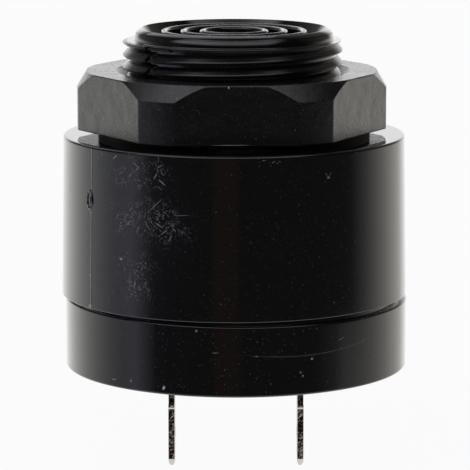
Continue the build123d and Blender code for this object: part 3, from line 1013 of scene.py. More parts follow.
def make_gate_mark():
    points = []
    for share, height in GATE_RINGS:
        for step in range(GATE_STEPS):
            turn = 2 * pi * step / GATE_STEPS
            up = GATE_Z + share * GATE_HALF_HEIGHT * sin(turn)
            rise = (up - BODY_REAR_Z) / (BODY_FRONT_Z - BODY_REAR_Z)
            wall = BODY_RADIUS_REAR - PARTING_HEIGHT - DRAFT * rise
            angle = GATE_ANGLE + share * GATE_HALF_WIDTH * cos(turn) / wall
            torn = GATE_TORN[0] < share < GATE_TORN[1]
            ragged = GATE_TEAR * sin(5 * turn + 9 * share) if torn else 0.0
            radius = wall + height + ragged
            points.append((radius * cos(angle), radius * sin(angle), up))
    faces = []
    for ring in range(len(GATE_RINGS) - 1):
        for step in range(GATE_STEPS):
            after = (step + 1) % GATE_STEPS
            here, there = ring * GATE_STEPS, (ring + 1) * GATE_STEPS
            faces.append((here + step, here + after, there + after, there + step))
    last = (len(GATE_RINGS) - 1) * GATE_STEPS
    faces.append(tuple(range(last, last + GATE_STEPS)))
    faces.append(tuple(reversed(range(GATE_STEPS))))
    piece = mesh_piece("gate_mark", points, faces, HOUSING_PLASTIC, GATE_HARD_EDGE)
    wrap_map(piece, BODY_RADIUS_REAR)
    return piece


gate_mark = make_gate_mark()
print("gate mark:", len(gate_mark.data.polygons), "faces")

# %% [markdown]
# Some shapes of the buzzer follow a rule: the thread climbs round the nose, the outlet's
# rings repeat, its spokes and the board's ribs stand round the axis. Geometry Nodes make
# these. A tree has named inputs for its sizes, and it runs once: the result is kept as a
# plain mesh. Where a tree needs a section, it reads it from a curve that is removed again.

# %% Shape tree helpers
# Points of a finished tree that are closer than this are joined, in mm
TREE_WELD = 0.002


def keep(piece):
    """Turns what the modifiers give into the piece's own plain mesh."""
    bpy.context.view_layer.update()
    ready = piece.evaluated_get(bpy.context.evaluated_depsgraph_get())
    mesh = bpy.data.meshes.new_from_object(ready)
    piece.modifiers.clear()
    piece.data = mesh
    mesh.name = piece.name


def section_curve(name, section):
    """A closed curve of (radius, height) points, for a tree to read."""
    data = bpy.data.curves.new(name, "CURVE")
    data.dimensions = "3D"
    line = data.splines.new("POLY")
    line.points.add(len(section) - 1)
    for point, (radius, height) in zip(line.points, section):
        point.co = (radius * MM, 0, height * MM, 1)
    line.use_cyclic_u = True
    return put_in_scene(name, data)


def new_tree(name, **inputs):
    """A geometry tree, and the sockets of its inputs, whose names are written with capitals."""
    tree = bpy.data.node_groups.new(name, "GeometryNodeTree")
    tree.interface.new_socket("Geometry", in_out="OUTPUT", socket_type="NodeSocketGeometry")
    for label, kind in inputs.items():
        title = label.replace("_", " ").title()
        tree.interface.new_socket(title, in_out="INPUT", socket_type="NodeSocket" + kind)
    return tree, add(tree, "NodeGroupInput").outputs


def close_tree(tree, geometry, material):
    """Ends a tree: the result is made real and takes its material."""
    real = add(tree, "GeometryNodeRealizeInstances", {0: geometry}).outputs[0]
    painted = add(tree, "GeometryNodeSetMaterial", {"Geometry": real, "Material": material}).outputs[0]
    add(tree, "NodeGroupOutput", {0: painted})


def grow(name, tree, **values):
    """Runs a tree on an empty object and keeps the result as a plain mesh."""
    seed = put_in_scene(name, bpy.data.meshes.new(name + "_seed"))
    modifier = seed.modifiers.new("grow", "NODES")
    modifier.node_group = tree
    for item in tree.interface.items_tree:
        if item.in_out == "INPUT":
            modifier[item.identifier] = values[item.name.replace(" ", "_").lower()]
    keep(seed)
    smooth(seed.data)
    return seed


def unit_sheet(tree, along, across):
    """A flat grid, one unit long and wide, with this many points each way."""
    sizes = {"Size X": 1.0, "Size Y": 1.0, "Vertices X": along, "Vertices Y": across}
    return add(tree, "GeometryNodeMeshGrid", sizes).outputs["Mesh"]


def sheet_place(tree):
    """How far along and across the grid a point lies, from 0 to 1."""
    place = split(tree, add(tree, "GeometryNodeInputPosition").outputs[0])
    return calc(tree, "ADD", place["X"], 0.5), calc(tree, "ADD", place["Y"], 0.5)


def lay_round(tree, sheet, angle, radius, height, shift=0.0):
    """Puts the grid's points round the axis and joins the edges that meet."""
    x = calc(tree, "MULTIPLY_ADD", radius, calc(tree, "COSINE", angle), shift)
    y = calc(tree, "MULTIPLY", radius, calc(tree, "SINE", angle))
    place = add(tree, "ShaderNodeCombineXYZ", {0: x, 1: y, 2: height}).outputs[0]
    laid = add(tree, "GeometryNodeSetPosition", {"Geometry": sheet, "Position": place}).outputs[0]
    weld = {"Geometry": laid, "Distance": TREE_WELD * MM}
    return add(tree, "GeometryNodeMergeByDistance", weld).outputs[0]


print("shape tree helpers ready")

# %% [markdown]
# The thread is a ridge that climbs 1.55 mm a turn. The ridge leans: its crest is low and
# its upper flank is long, and that flank catches the light. The two mould halves differ a
# little, and the ridge behind stands further out than the one in front. So the ridge has
# two sections, with the same number of points, so that one can turn into the other.

# %% Thread sections
THREAD_PITCH = 1.55
THREAD_START_Z = 31.4
THREAD_FRONT_CREST_Z = 38.38
# The ridge starts inside the nose, so that no gap shows beside it
THREAD_BURY = 0.15
RIDGE_ROOT_RADIUS = THREAD_ROOT_RADIUS - THREAD_BURY
FRONT_RIDGE = rounded(
    [
        (RIDGE_ROOT_RADIUS, -0.74, 0.0),
        (THREAD_CREST_RADIUS, -0.46, 0.08),
        (THREAD_CREST_RADIUS, -0.26, 0.14),
        (THREAD_CREST_RADIUS - 0.4, 0.22, 0.1),
        (RIDGE_ROOT_RADIUS, 0.74, 0.0),
    ],
    steps=3,
)
BACK_RIDGE = rounded(
    [
        (RIDGE_ROOT_RADIUS, -0.8, 0.0),
        (THREAD_CREST_RADIUS - 0.1, -0.52, 0.1),
        (THREAD_CREST_RADIUS + 0.25, -0.18, 0.16),
        (THREAD_CREST_RADIUS - 0.36, 0.5, 0.12),
        (RIDGE_ROOT_RADIUS, 0.8, 0.0),
    ],
    steps=3,
)
print("ridge sections of", len(FRONT_RIDGE), "and", len(BACK_RIDGE), "points")

# %% [markdown]
# A tree lays the ridge. It starts with a long grid of points, whose length becomes the
# angle and whose width walks once round the section. A slanting slit parts the two halves:
# the columns crowd together there, so that it comes out narrow and clean. At its two ends
# the ridge shrinks to nothing, as it runs out.

# %% Thread tree
# How fast one half gives way to the other at the slit, as a sine
HALVES_MEET = (0.004, -0.004)
# The slit is deepest within this share of its width, and takes this share of the ridge
SLIT_FLOOR = 0.45
SLIT_DEPTH = 0.45
# The ridge grows to its full height over this share of a turn
RUN_OUT = 0.08


def section_point(tree, section, across, count):
    """The section's point that a column's place across the grid stands for."""
    curve = add(tree, "GeometryNodeObjectInfo", {"Object": section}).outputs["Geometry"]
    step = calc(tree, "ROUND", calc(tree, "MULTIPLY", across, count))
    number = calc(tree, "FLOORED_MODULO", step, count)
    position = add(tree, "GeometryNodeInputPosition").outputs[0]
    sample = add(tree, "GeometryNodeSampleIndex", data_type="FLOAT_VECTOR", domain="POINT")
    tree.links.new(curve, sample.inputs["Geometry"])
    tree.links.new(position, sample.inputs["Value"])
    tree.links.new(number, sample.inputs["Index"])
    return split(tree, sample.outputs[0])


def crowded_angle(tree, given, along):
    """The angle at a place along the ridge, with the columns drawn to the slit."""
    turned_by = calc(tree, "MULTIPLY", along, given["Turns"])
    even = calc(tree, "MULTIPLY_ADD", turned_by, 2 * pi, given["Start Angle"])
    from_slit = calc(tree, "SINE", calc(tree, "SUBTRACT", even, given["Slit Angle"]))
    return calc(tree, "SUBTRACT", even, calc(tree, "MULTIPLY", from_slit, given["Crowding"]))


def end_share(tree, given, turn):
    """How much of the ridge stands at a turn: all of it but for its two ends."""
    middle = calc(tree, "MULTIPLY", given["Turns"], 0.5)
    off_middle = calc(tree, "ABSOLUTE", calc(tree, "SUBTRACT", turn, middle))
    return remap(tree, calc(tree, "SUBTRACT", middle, off_middle), 0.0, RUN_OUT, soft=True)


def thread_tree():
    tree, given = new_tree(
        "thread",
        front_ridge="Object",
        back_ridge="Object",
        section_points="Int",
        turns="Float",
        pitch="Float",
        start_height="Float",
        top_height="Float",
        start_angle="Float",
        slit_angle="Float",
        slit_slant="Float",
        slit_width="Float",
        crowding="Float",
        shift="Float",
        root_radius="Float",
        along="Int",
        across="Int",
        material="Material",
    )
    sheet = unit_sheet(tree, given["Along"], given["Across"])
    along, across = sheet_place(tree)
    front = section_point(tree, given["Front Ridge"], across, given["Section Points"])
    back = section_point(tree, given["Back Ridge"], across, given["Section Points"])
    angle = crowded_angle(tree, given, along)
    turn = calc(tree, "DIVIDE", calc(tree, "SUBTRACT", angle, given["Start Angle"]), 2 * pi)
    slit = calc(tree, "MULTIPLY_ADD", front["Z"], given["Slit Slant"], given["Slit Angle"])
    past_slit = calc(tree, "SINE", calc(tree, "SUBTRACT", angle, slit))
    back_half = remap(tree, past_slit, *HALVES_MEET)
    from_slit = calc(tree, "DIVIDE", calc(tree, "ABSOLUTE", past_slit), given["Slit Width"])
    missing = remap(tree, from_slit, 1.0, SLIT_FLOOR, 0.0, SLIT_DEPTH)
    full = end_share(tree, given, turn)
    reach = blend_value(tree, back_half, front["X"], back["X"])
    proud = calc(tree, "SUBTRACT", reach, given["Root Radius"])
    stands = calc(tree, "MULTIPLY", full, calc(tree, "SUBTRACT", 1.0, missing))
    radius = calc(tree, "MULTIPLY_ADD", proud, stands, given["Root Radius"])
    rise = calc(tree, "MULTIPLY_ADD", turn, given["Pitch"], given["Start Height"])
    level = blend_value(tree, back_half, front["Z"], back["Z"])
    tall = calc(tree, "MULTIPLY_ADD", level, full, rise)
    height = calc(tree, "MINIMUM", tall, given["Top Height"])
    shift = calc(tree, "MULTIPLY", back_half, given["Shift"])
    close_tree(tree, lay_round(tree, sheet, angle, radius, height, shift), given["Material"])
    return tree


print("slit takes", SLIT_DEPTH, "of the ridge's height")

# %% [markdown]
# Now the tree gets its sizes and runs. The number of turns follows from the pitch and the
# heights between which the thread runs, and a whole number of turns below one measured
# crest gives the height at which the ridge starts.

# %% Nose thread
POINTS_PER_TURN = 300
SLIT_ANGLE = radians(220.4)
# How far the slit leans, in radians for each metre up, and its half width as a sine
SLIT_SLANT = 82.0
SLIT_WIDTH = 0.006
# How strongly the columns are drawn to the slit, and how far the back half is moved along X
CROWDING = 0.82
BACK_HALF_SHIFT = -0.2
# The ridge is cut off this far below the thread's top
THREAD_HEADROOM = 0.05
thread_turns = ceil((THREAD_TOP_Z + THREAD_PITCH / 2 - THREAD_START_Z) / THREAD_PITCH)
front_turns = round((THREAD_FRONT_CREST_Z - THREAD_START_Z) / THREAD_PITCH)
front_section = section_curve("front_ridge", FRONT_RIDGE)
back_section = section_curve("back_ridge", BACK_RIDGE)
nose_thread = grow(
    "nose_thread",
    thread_tree(),
    front_ridge=front_section,
    back_ridge=back_section,
    section_points=len(FRONT_RIDGE),
    turns=float(thread_turns),
    pitch=THREAD_PITCH * MM,
    start_height=(THREAD_FRONT_CREST_Z - front_turns * THREAD_PITCH) * MM,
    top_height=(THREAD_TOP_Z - THREAD_HEADROOM) * MM,
    start_angle=-pi / 2,
    slit_angle=SLIT_ANGLE,
    slit_slant=SLIT_SLANT,
    slit_width=SLIT_WIDTH,
    crowding=CROWDING,
    shift=BACK_HALF_SHIFT * MM,
    root_radius=RIDGE_ROOT_RADIUS * MM,
    along=POINTS_PER_TURN * thread_turns + 1,
    across=len(FRONT_RIDGE) + 1,
    material=THREAD_PLASTIC,
)
bpy.data.objects.remove(front_section)
bpy.data.objects.remove(back_section)
wrap_map(nose_thread, THREAD_CREST_RADIUS)
print("thread:", thread_turns, "turns,", len(nose_thread.data.polygons), "faces")

# %% [markdown]
# The sound outlet is three rings that stand in a shallow dish, with a disc in the middle.
# The sound comes out through slots between the rings. The rings are one tree: a grid is
# copied, each copy is laid round the axis, and each is a step smaller than the one before.

# %% Outlet rings
RING_RADIUS = 8.8
RING_STEP = 2.425
RING_COUNT = 3
RING_WALL = 0.8
RING_TOP_Z = 42.45
# A ring has this many columns round it, and this many steps once round its section
RING_COLUMNS = 144
RING_ROWS = 80
# The rounding of a ring's top stops this far from its middle
RING_FLAT = 0.02
RING_SECTION = rounded(
    [
        (RING_WALL / 2, GRILLE_BACK_Z, 0.0),
        (RING_WALL / 2, RING_TOP_Z - 2 * RING_FLAT, RING_WALL / 2 - RING_FLAT),
        (-RING_WALL / 2, RING_TOP_Z - 2 * RING_FLAT, RING_WALL / 2 - RING_FLAT),
        (-RING_WALL / 2, GRILLE_BACK_Z, 0.0),
    ],
    steps=6,
)


def rings_tree():
    tree, given = new_tree(
        "rings",
        section="Object",
        radius="Float",
        step="Float",
        count="Int",
        around="Int",
        across="Int",
        material="Material",
    )
    sheet = unit_sheet(tree, given["Around"], given["Across"])
    whole = add(tree, "GeometryNodeGeometryToInstance", {0: sheet}).outputs[0]
    amount = {"Geometry": whole, "Amount": given["Count"]}
    copies = add(tree, "GeometryNodeDuplicateElements", amount, domain="INSTANCE")
    joined = add(tree, "GeometryNodeRealizeInstances", {0: copies.outputs["Geometry"]}).outputs[0]
    along, across = sheet_place(tree)
    curve = add(tree, "GeometryNodeObjectInfo", {"Object": given["Section"]}).outputs["Geometry"]
    sample = add(tree, "GeometryNodeSampleCurve", {"Curves": curve, "Factor": across}, mode="FACTOR")
    place = split(tree, sample.outputs["Position"])
    inward = calc(tree, "MULTIPLY", copies.outputs["Duplicate Index"], given["Step"])
    middle = calc(tree, "SUBTRACT", given["Radius"], inward)
    radius = calc(tree, "ADD", middle, place["X"])
    angle = calc(tree, "MULTIPLY", along, 2 * pi)
    close_tree(tree, lay_round(tree, joined, angle, radius, place["Z"]), given["Material"])
    return tree


ring_section = section_curve("ring_section", RING_SECTION)
outlet_rings = grow(
    "outlet_rings",
    rings_tree(),
    section=ring_section,
    radius=RING_RADIUS * MM,
    step=RING_STEP * MM,
    count=RING_COUNT,
    around=RING_COLUMNS + 1,
    across=RING_ROWS + 1,
    material=HOUSING_PLASTIC,
)
bpy.data.objects.remove(ring_section)
wrap_map(outlet_rings, RING_RADIUS)
print("outlet rings:", len(outlet_rings.data.polygons), "faces")

# %% [markdown]
# Six spokes behind the rings hold them, and six ribs inside the body hold the circuit
# board. Both are bars set round the axis, so one tree makes both: it builds a single bar
# at its distance from the axis and turns a copy of it to each angle. The disc in the
# middle of the outlet is turned.

# %% Spokes and ribs
CENTRE_RADIUS = 4.0
CENTRE_TOP_Z = 41.6
CENTRE_COLUMNS = 96
# The disc starts this far in front of the spokes' back, so that no two faces share a place
CENTRE_GAP = 0.05
SPOKE_COUNT = 6
SPOKE_WIDTH = 1.6
SPOKE_OVERLAP = 0.3
RIB_COUNT = 6
RIB_START = 30
RIB_INNER_RADIUS = 18.1
RIB_THICKNESS = 1.2
RIB_REAR_Z = 13.7
RIB_OVERLAP = 0.5


def halfway(tree, low, high):
    """The middle of two numbers."""
    return calc(tree, "MULTIPLY", calc(tree, "ADD", high, low), 0.5)


def bars_tree():
    tree, given = new_tree(
        "bars",
        count="Int",
        start_angle="Float",
        inner="Float",
        outer="Float",
        width="Float",
        low="Float",
        high="Float",
        material="Material",
    )
    length = calc(tree, "SUBTRACT", given["Outer"], given["Inner"])
    height = calc(tree, "SUBTRACT", given["High"], given["Low"])
    size = add(tree, "ShaderNodeCombineXYZ", {0: length, 1: given["Width"], 2: height}).outputs[0]
    bar = add(tree, "GeometryNodeMeshCube", {"Size": size}).outputs["Mesh"]
    middle = halfway(tree, given["Inner"], given["Outer"])
    level = halfway(tree, given["Low"], given["High"])
    shift = add(tree, "ShaderNodeCombineXYZ", {0: middle, 2: level}).outputs[0]
    placed = add(tree, "GeometryNodeTransform", {"Geometry": bar, "Translation": shift}).outputs[0]
    line = {"Count": given["Count"], "Offset": (0, 0, 0)}
    points = add(tree, "GeometryNodeMeshLine", line).outputs[0]
    number = add(tree, "GeometryNodeInputIndex").outputs[0]
    part = calc(tree, "DIVIDE", calc(tree, "MULTIPLY", number, 2 * pi), given["Count"])
    turn = add(tree, "ShaderNodeCombineXYZ", {2: calc(tree, "ADD", part, given["Start Angle"])})
    copies = {"Points": points, "Instance": placed, "Rotation": turn.outputs[0]}
    set_round = add(tree, "GeometryNodeInstanceOnPoints", copies).outputs[0]
    close_tree(tree, set_round, given["Material"])
    return tree


bars = bars_tree()
outlet_spokes = grow(
    "outlet_spokes",
    bars,
    count=SPOKE_COUNT,
    start_angle=0.0,
    inner=(CENTRE_RADIUS - SPOKE_OVERLAP) * MM,
    outer=(BORE_RADIUS + SPOKE_OVERLAP) * MM,
    width=SPOKE_WIDTH * MM,
    low=GRILLE_BACK_Z * MM,
    high=GRILLE_FLOOR_Z * MM,
    material=HOUSING_PLASTIC,
)
board_ribs = grow(
    "board_ribs",
    bars,
    count=RIB_COUNT,
    start_angle=radians(RIB_START),
    inner=RIB_INNER_RADIUS * MM,
    outer=(CAVITY_RADIUS + RIB_OVERLAP) * MM,
    width=RIB_THICKNESS * MM,
    low=RIB_REAR_Z * MM,
    high=(BODY_FRONT_Z - FRONT_WALL + RIB_OVERLAP) * MM,
    material=HOUSING_PLASTIC,
)
for piece in (outlet_spokes, board_ribs):
    wrap_map(piece, RING_RADIUS)
CENTRE_SECTION = rounded(
    [
        (0, GRILLE_BACK_Z + CENTRE_GAP, 0.0),
        (CENTRE_RADIUS, GRILLE_BACK_Z + CENTRE_GAP, 0.0),
        (CENTRE_RADIUS, CENTRE_TOP_Z, 0.05),
        (0, CENTRE_TOP_Z, 0.0),
    ]
)
outlet_centre = turned("outlet_centre", CENTRE_SECTION, even_angles(CENTRE_COLUMNS), HOUSING_PLASTIC)
print(SPOKE_COUNT, "spokes and", RIB_COUNT, "ribs")

# %% [markdown]
# The nut is a hexagon whose corners were turned off to a circle, and whose upper edge is
# coned. Both cuts meet the flats at a different height at every angle, which gives the
# curved edges that catch the light. So the section is worked out anew at each angle, and
# the angles crowd together where a flat meets a turned corner.

# %% Panel nut
NUT_FLAT = 17.95
NUT_CORNER_RADIUS = 19.45
NUT_TURN = radians(1.95)
NUT_BORE_X = -0.12
NUT_SHIFT_X = -0.3
CONE_TOP_RADIUS = 18.25
CONE_DROP = 2.05
NUT_BORE = 13.8
COUNTERSINK = 0.9
# What lies inside this radius belongs to the bore, which sits on its own middle
BORE_SIDE = NUT_BORE + 1.2 * COUNTERSINK
NUT_TOP_Z = NUT_HIGH.z
# The soft edge where a flat reaches the top face
NUT_EDGE = 0.07
CONE_SLOPE = (NUT_CORNER_RADIUS - CONE_TOP_RADIUS) / CONE_DROP
# How soft the edge between a flat and a corner is, and how many times that it reaches
EDGE_SOFTNESS = 0.018
EDGE_REACH = 30
NUT_HARD_EDGE = 50
# The columns beside a flat's edge, in mm from it, and the even ones, in degrees
EDGE_COLUMNS = (-0.3, -0.16, -0.09, -0.04, 0, 0.04, 0.09, 0.16, 0.3)
EDGE_CLEARANCE = 0.4
COLUMN_STEP = 2


def nut_side(away):
    """The nut's radius at an angle away from the middle of a flat, with a soft corner."""
    flat = NUT_FLAT / cos(away)
    gap = (flat - NUT_CORNER_RADIUS) / EDGE_SOFTNESS
    if gap > EDGE_REACH:
        return NUT_CORNER_RADIUS
    if gap < -EDGE_REACH:
        return flat
    return NUT_CORNER_RADIUS - EDGE_SOFTNESS * log(1 + exp(-gap))


def nut_section(away):
    """The nut's section at an angle away from the middle of a flat."""
    side = nut_side(away)
    cut_away = max(side - CONE_TOP_RADIUS, NUT_EDGE)
    return rounded(
        [
            (NUT_BORE, SEAT_Z, 0.06),
            (side, SEAT_Z, 0.14),
            (side, NUT_TOP_Z - cut_away / CONE_SLOPE, NUT_EDGE * 0.6),
            (side - cut_away, NUT_TOP_Z, NUT_EDGE * 0.5),
            (NUT_BORE + COUNTERSINK, NUT_TOP_Z, 0.1),
            (NUT_BORE, NUT_TOP_Z - COUNTERSINK, 0.06),
        ]
    )


def nut_angles():
    """Angles away from a flat's middle: even ones, and a crowd at its two edges."""
    edge = acos(NUT_FLAT / NUT_CORNER_RADIUS)
    crowd = [edge + step / NUT_CORNER_RADIUS for step in EDGE_COLUMNS]
    even = [radians(step) for step in range(0, 31, COLUMN_STEP)]
    clear = [angle for angle in even if abs(angle - edge) > EDGE_CLEARANCE / NUT_CORNER_RADIUS]
    half = sorted(crowd + clear)
    return [-angle for angle in reversed(half[1:-1])] + half


def make_nut():
    points = []
    columns = 0
    for flat in range(6):
        middle = NUT_TURN + radians(30 + 60 * flat)
        for away in nut_angles():
            angle = middle + away
            for radius, height in nut_section(away):
                centre_x = NUT_BORE_X if radius < BORE_SIDE else NUT_SHIFT_X
                points.append((centre_x + radius * cos(angle), radius * sin(angle), height))
            columns += 1
    faces = ring_faces(columns, len(nut_section(0)))
    piece = mesh_piece("nut_body", points, faces, NUT_PLASTIC, NUT_HARD_EDGE)
    wrap_map(piece, NUT_CORNER_RADIUS, NUT_SHIFT_X)
    return piece


nut_body = make_nut()
print("nut:", len(nut_body.data.polygons), "faces")

# %% [markdown]
# The rear cover is a turned cap. Its lip doesn't sit quite level, so the dark seam under
# the body is thin on the left and opens towards the right. Its floor has a slot for each
# blade, cut with a boolean.

# %% Rear cover
COVER_LOW, COVER_HIGH = (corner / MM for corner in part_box("rear_cover"))
COVER_SHIFT_X = (COVER_LOW.x + COVER_HIGH.x) / 2
COVER_RADIUS = (COVER_HIGH.x - COVER_LOW.x) / 2
COVER_LIP_Z = 8.9
COVER_LAND_RADIUS = 20.6
COVER_FLOOR = 2.5
SPIGOT_RADIUS = 19.2
SPIGOT_INNER_RADIUS = 18.0
SPIGOT_TOP_Z = COVER_HIGH.z
COVER_COLUMNS = 240
# How far the lip drops, and the angle at which it is lowest
LIP_DROP = 0.32
LOWEST_LIP = radians(-25)
LIP_HEIGHT = 1.0
BLADE_THICKNESS = 0.8
NECK_WIDTH = 4.1
SLOT_CLEARANCE = 0.1
# How far the tool for a slot stands past the floor on both sides
SLOT_OVERCUT = 1.0
BLADES = ("positive_blade", "negative_blade")


def lip_rule(angle, radius, height):
    """Lowers the cover's lip towards the right of the front."""
    if radius > COVER_LAND_RADIUS + 0.1 and height > COVER_LIP_Z - LIP_HEIGHT:
        height -= LIP_DROP * (0.5 + 0.5 * cos(angle - LOWEST_LIP))
    return radius, height


def box_mesh(name, low, high):
    """A plain box, in millimetres."""
    points = list(product(*zip(low, high)))
    faces = [(0, 1, 3, 2), (4, 6, 7, 5), (0, 4, 5, 1), (2, 3, 7, 6), (0, 2, 6, 4), (1, 5, 7, 3)]
    return mesh_piece(name, points, faces, COVER_PLASTIC)


def cut(piece, tool):
    """Takes the tool away from the piece and deletes it."""
    modifier = piece.modifiers.new("cut", "BOOLEAN")
    modifier.operation = "DIFFERENCE"
    modifier.solver = "EXACT"
    modifier.object = tool
    keep(piece)
    smooth(piece.data)
    bpy.data.objects.remove(tool)


COVER_SECTION = rounded(
    [
        (0, 0, 0.0),
        (COVER_RADIUS, 0, 0.28),
        (COVER_RADIUS, COVER_LIP_Z, 0.2),
        (COVER_LAND_RADIUS, COVER_LIP_Z, 0.08),
        (COVER_LAND_RADIUS, BODY_REAR_Z, 0.0),
        (SPIGOT_RADIUS, BODY_REAR_Z, 0.0),
        (SPIGOT_RADIUS, SPIGOT_TOP_Z, 0.1),
        (SPIGOT_INNER_RADIUS, SPIGOT_TOP_Z, 0.0),
        (SPIGOT_INNER_RADIUS, COVER_FLOOR, 0.0),
        (0, COVER_FLOOR, 0.0),
    ]
)
cover_angles = even_angles(COVER_COLUMNS)
cover_body = turned("cover_body", COVER_SECTION, cover_angles, COVER_PLASTIC, lip_rule, COVER_SHIFT_X)
for blade_name in BLADES:
    low, high = (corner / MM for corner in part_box(blade_name))
    half = NECK_WIDTH / 2 + SLOT_CLEARANCE
    slot_low = (low.x - SLOT_CLEARANCE, -half, -SLOT_OVERCUT)
    slot_high = (high.x + SLOT_CLEARANCE, half, COVER_FLOOR + SLOT_OVERCUT)
    cut(cover_body, box_mesh("slot", slot_low, slot_high))
print("cover:", len(cover_body.data.polygons), "faces")

# %% [markdown]
# The blades are stamped from tinned strip. Their faces are bright tin; the sheared edges,
# which the photograph shows, are dark and torn, with bright flecks. The material has both
# finishes and goes from one to the other by a mark that each face carries.

# %% Blade metal
TIN = ((0.6, 0.59, 0.57, 1.0), (0.8, 0.79, 0.77, 1.0))
TIN_ROUGHNESS = (0.16, 0.3)
STREAK_SCALE = 9000.0
STREAK_STRETCH = (1.0, 1.0, 0.08)
TORN = ((0.02, 0.012, 0.008, 1.0), (0.9, 0.8, 0.68, 1.0))
TORN_ROUGHNESS = 0.45
TORN_METAL = 0.7
TEAR_SCALE = 3000.0
TEAR_SLANT = radians(35)
TEAR_STRETCH = (0.6, 1.0, 1.5)
TEAR_DEPTH = 0.16
FLECKS = (0.5, 0.62)


def blade_metal():
    made, tree, coords = new_material("tinned_brass")
    edge = add(tree, "ShaderNodeAttribute", attribute_name="edge").outputs["Fac"]
    streaks = noise(tree, mapped(tree, coords, Scale=STREAK_STRETCH), STREAK_SCALE)
    bright = blend_colour(tree, streaks, *TIN)
    slanted = mapped(tree, coords, Rotation=(0, TEAR_SLANT, 0))
    squeezed = mapped(tree, slanted, Scale=TEAR_STRETCH)
    tears = noise(tree, squeezed, TEAR_SCALE, detail=3.0, roughness=0.6)
    torn = blend_colour(tree, remap(tree, tears, *FLECKS), *TORN)
    plain_roughness = remap(tree, streaks, 0.0, 1.0, *TIN_ROUGHNESS)
    sockets = {
        "Base Color": blend_colour(tree, edge, bright, torn),
        "Roughness": blend_value(tree, edge, plain_roughness, TORN_ROUGHNESS),
        "Normal": bumped(tree, blend_value(tree, edge, 0.5, tears), TEAR_DEPTH * MM),
        "Metallic": blend_value(tree, edge, 1.0, TORN_METAL),
    }
    finish_material(tree, add(tree, "ShaderNodeBsdfPrincipled", sockets))
    return made


blade_material = blade_metal()
print("blade metal:", blade_material.name)

# %% [markdown]
# Half of the blade's outline is drawn once, mirrored and given its thickness. The hole is
# cut with a boolean, and a bevel rounds the edges a little. Under the shoulder the punch
# left a shallow nick. Its slope is bright tin that leans down and mirrors the white below,
# so it shows as a white band on the dark edge.

# %% Blades
BLADE_SHOULDER_Z = -5.1
NICK_Z = -5.44
NICK_HEIGHT = 0.34
NICK_DEPTH = 0.15
BLADE_TIP_CHAMFER = 1.0
BLADE_TIP_BEVEL = 0.5
BLADE_TIP_THICKNESS = 0.3
BLADE_EDGE = 0.05
BLADE_HARD_EDGE = 25
HOLE_RADIUS = 0.9
HOLE_FROM_TIP = 4.1
HOLE_STEPS = 48
WING_WIDTH = 5.6
WING_HEIGHT = 1.5
TAIL_WIDTH = 1.6
# A face that looks this straight to the front or the back is a sheared edge
SHEARED = 0.985


def blade_outline(half, tip_z, tail_z):
    """Half of the blade's outline, as (width, height) points from the tip to the tail."""
    wings_z = COVER_FLOOR + WING_HEIGHT
    return [
        (half - BLADE_TIP_CHAMFER, tip_z),
        (half - BLADE_TIP_CHAMFER / 2, tip_z + BLADE_TIP_BEVEL),
        (half, tip_z + BLADE_TIP_CHAMFER),
        (half, NICK_Z - NICK_HEIGHT),
        (half - NICK_DEPTH, NICK_Z - NICK_HEIGHT),
        (half, NICK_Z),
        (half, BLADE_SHOULDER_Z),
        (NECK_WIDTH / 2, BLADE_SHOULDER_Z),
        (NECK_WIDTH / 2, COVER_FLOOR),
        (WING_WIDTH / 2, COVER_FLOOR),
        (WING_WIDTH / 2, wings_z),
        (TAIL_WIDTH / 2, wings_z),
        (TAIL_WIDTH / 2, tail_z),
    ]


def wall_faces(count):
    """The walls between two outlines of this many points."""
    return [(i, (i + 1) % count, (i + 1) % count + count, i + count) for i in range(count)]


def drill_hole(piece, x, hole_z, material):
    """Cuts the round hole through the blade."""
    rim = [(HOLE_RADIUS * cos(t), hole_z + HOLE_RADIUS * sin(t)) for t in even_angles(HOLE_STEPS)]
    points = [(x - 1, y, z) for y, z in rim] + [(x + 1, y, z) for y, z in rim]
    ends = [tuple(range(HOLE_STEPS)), tuple(range(HOLE_STEPS, 2 * HOLE_STEPS))]
    cut(piece, mesh_piece("drill", points, wall_faces(HOLE_STEPS) + ends, material))


def round_edges(piece):
    bevel = piece.modifiers.new("bevel", "BEVEL")
    bevel.width = BLADE_EDGE * MM
    bevel.segments = 2
    bevel.limit_method = "ANGLE"
    bevel.angle_limit = radians(BLADE_HARD_EDGE)
    keep(piece)


def mark_edges(piece):
    """Gives the material a face attribute: 1 on the sheared edges, 0 elsewhere."""
    marks = piece.data.attributes.new("edge", "FLOAT", "FACE")
    for face, mark in zip(piece.data.polygons, marks.data):
        mark.value = 1.0 if abs(face.normal.y) > SHEARED else 0.0


def make_blade(name, material):
    low, high = (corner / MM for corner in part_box(name))
    x = (low.x + high.x) / 2
    side = blade_outline(high.y, low.z, high.z)
    outline = side + [(-width, z) for width, z in reversed(side)]
    count = len(outline)
    thick = [BLADE_TIP_THICKNESS if z <= low.z else BLADE_THICKNESS for width, z in outline]
    points = [(x - t / 2, y, z) for (y, z), t in zip(outline, thick)]
    points += [(x + t / 2, y, z) for (y, z), t in zip(outline, thick)]
    tip = (0, 1, count - 2, count - 1)
    faces = [tuple(range(1, count - 1)), tip]
    faces += [tuple(i + count for i in face) for face in faces]
    faces += wall_faces(count)
    piece = mesh_piece(name.replace("blade", "tab"), points, faces, material, BLADE_HARD_EDGE)
    drill_hole(piece, x, low.z + HOLE_FROM_TIP, material)
    round_edges(piece)
    mark_edges(piece)
    return piece


tabs = [make_blade(name, blade_material) for name in BLADES]
print("blades:", [tab.name for tab in tabs])

# %% [markdown]
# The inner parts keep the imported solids' shapes. Each gets a finish made the same way:
# two close tones mixed by noise, a roughness that wanders a little, and a fine bump.

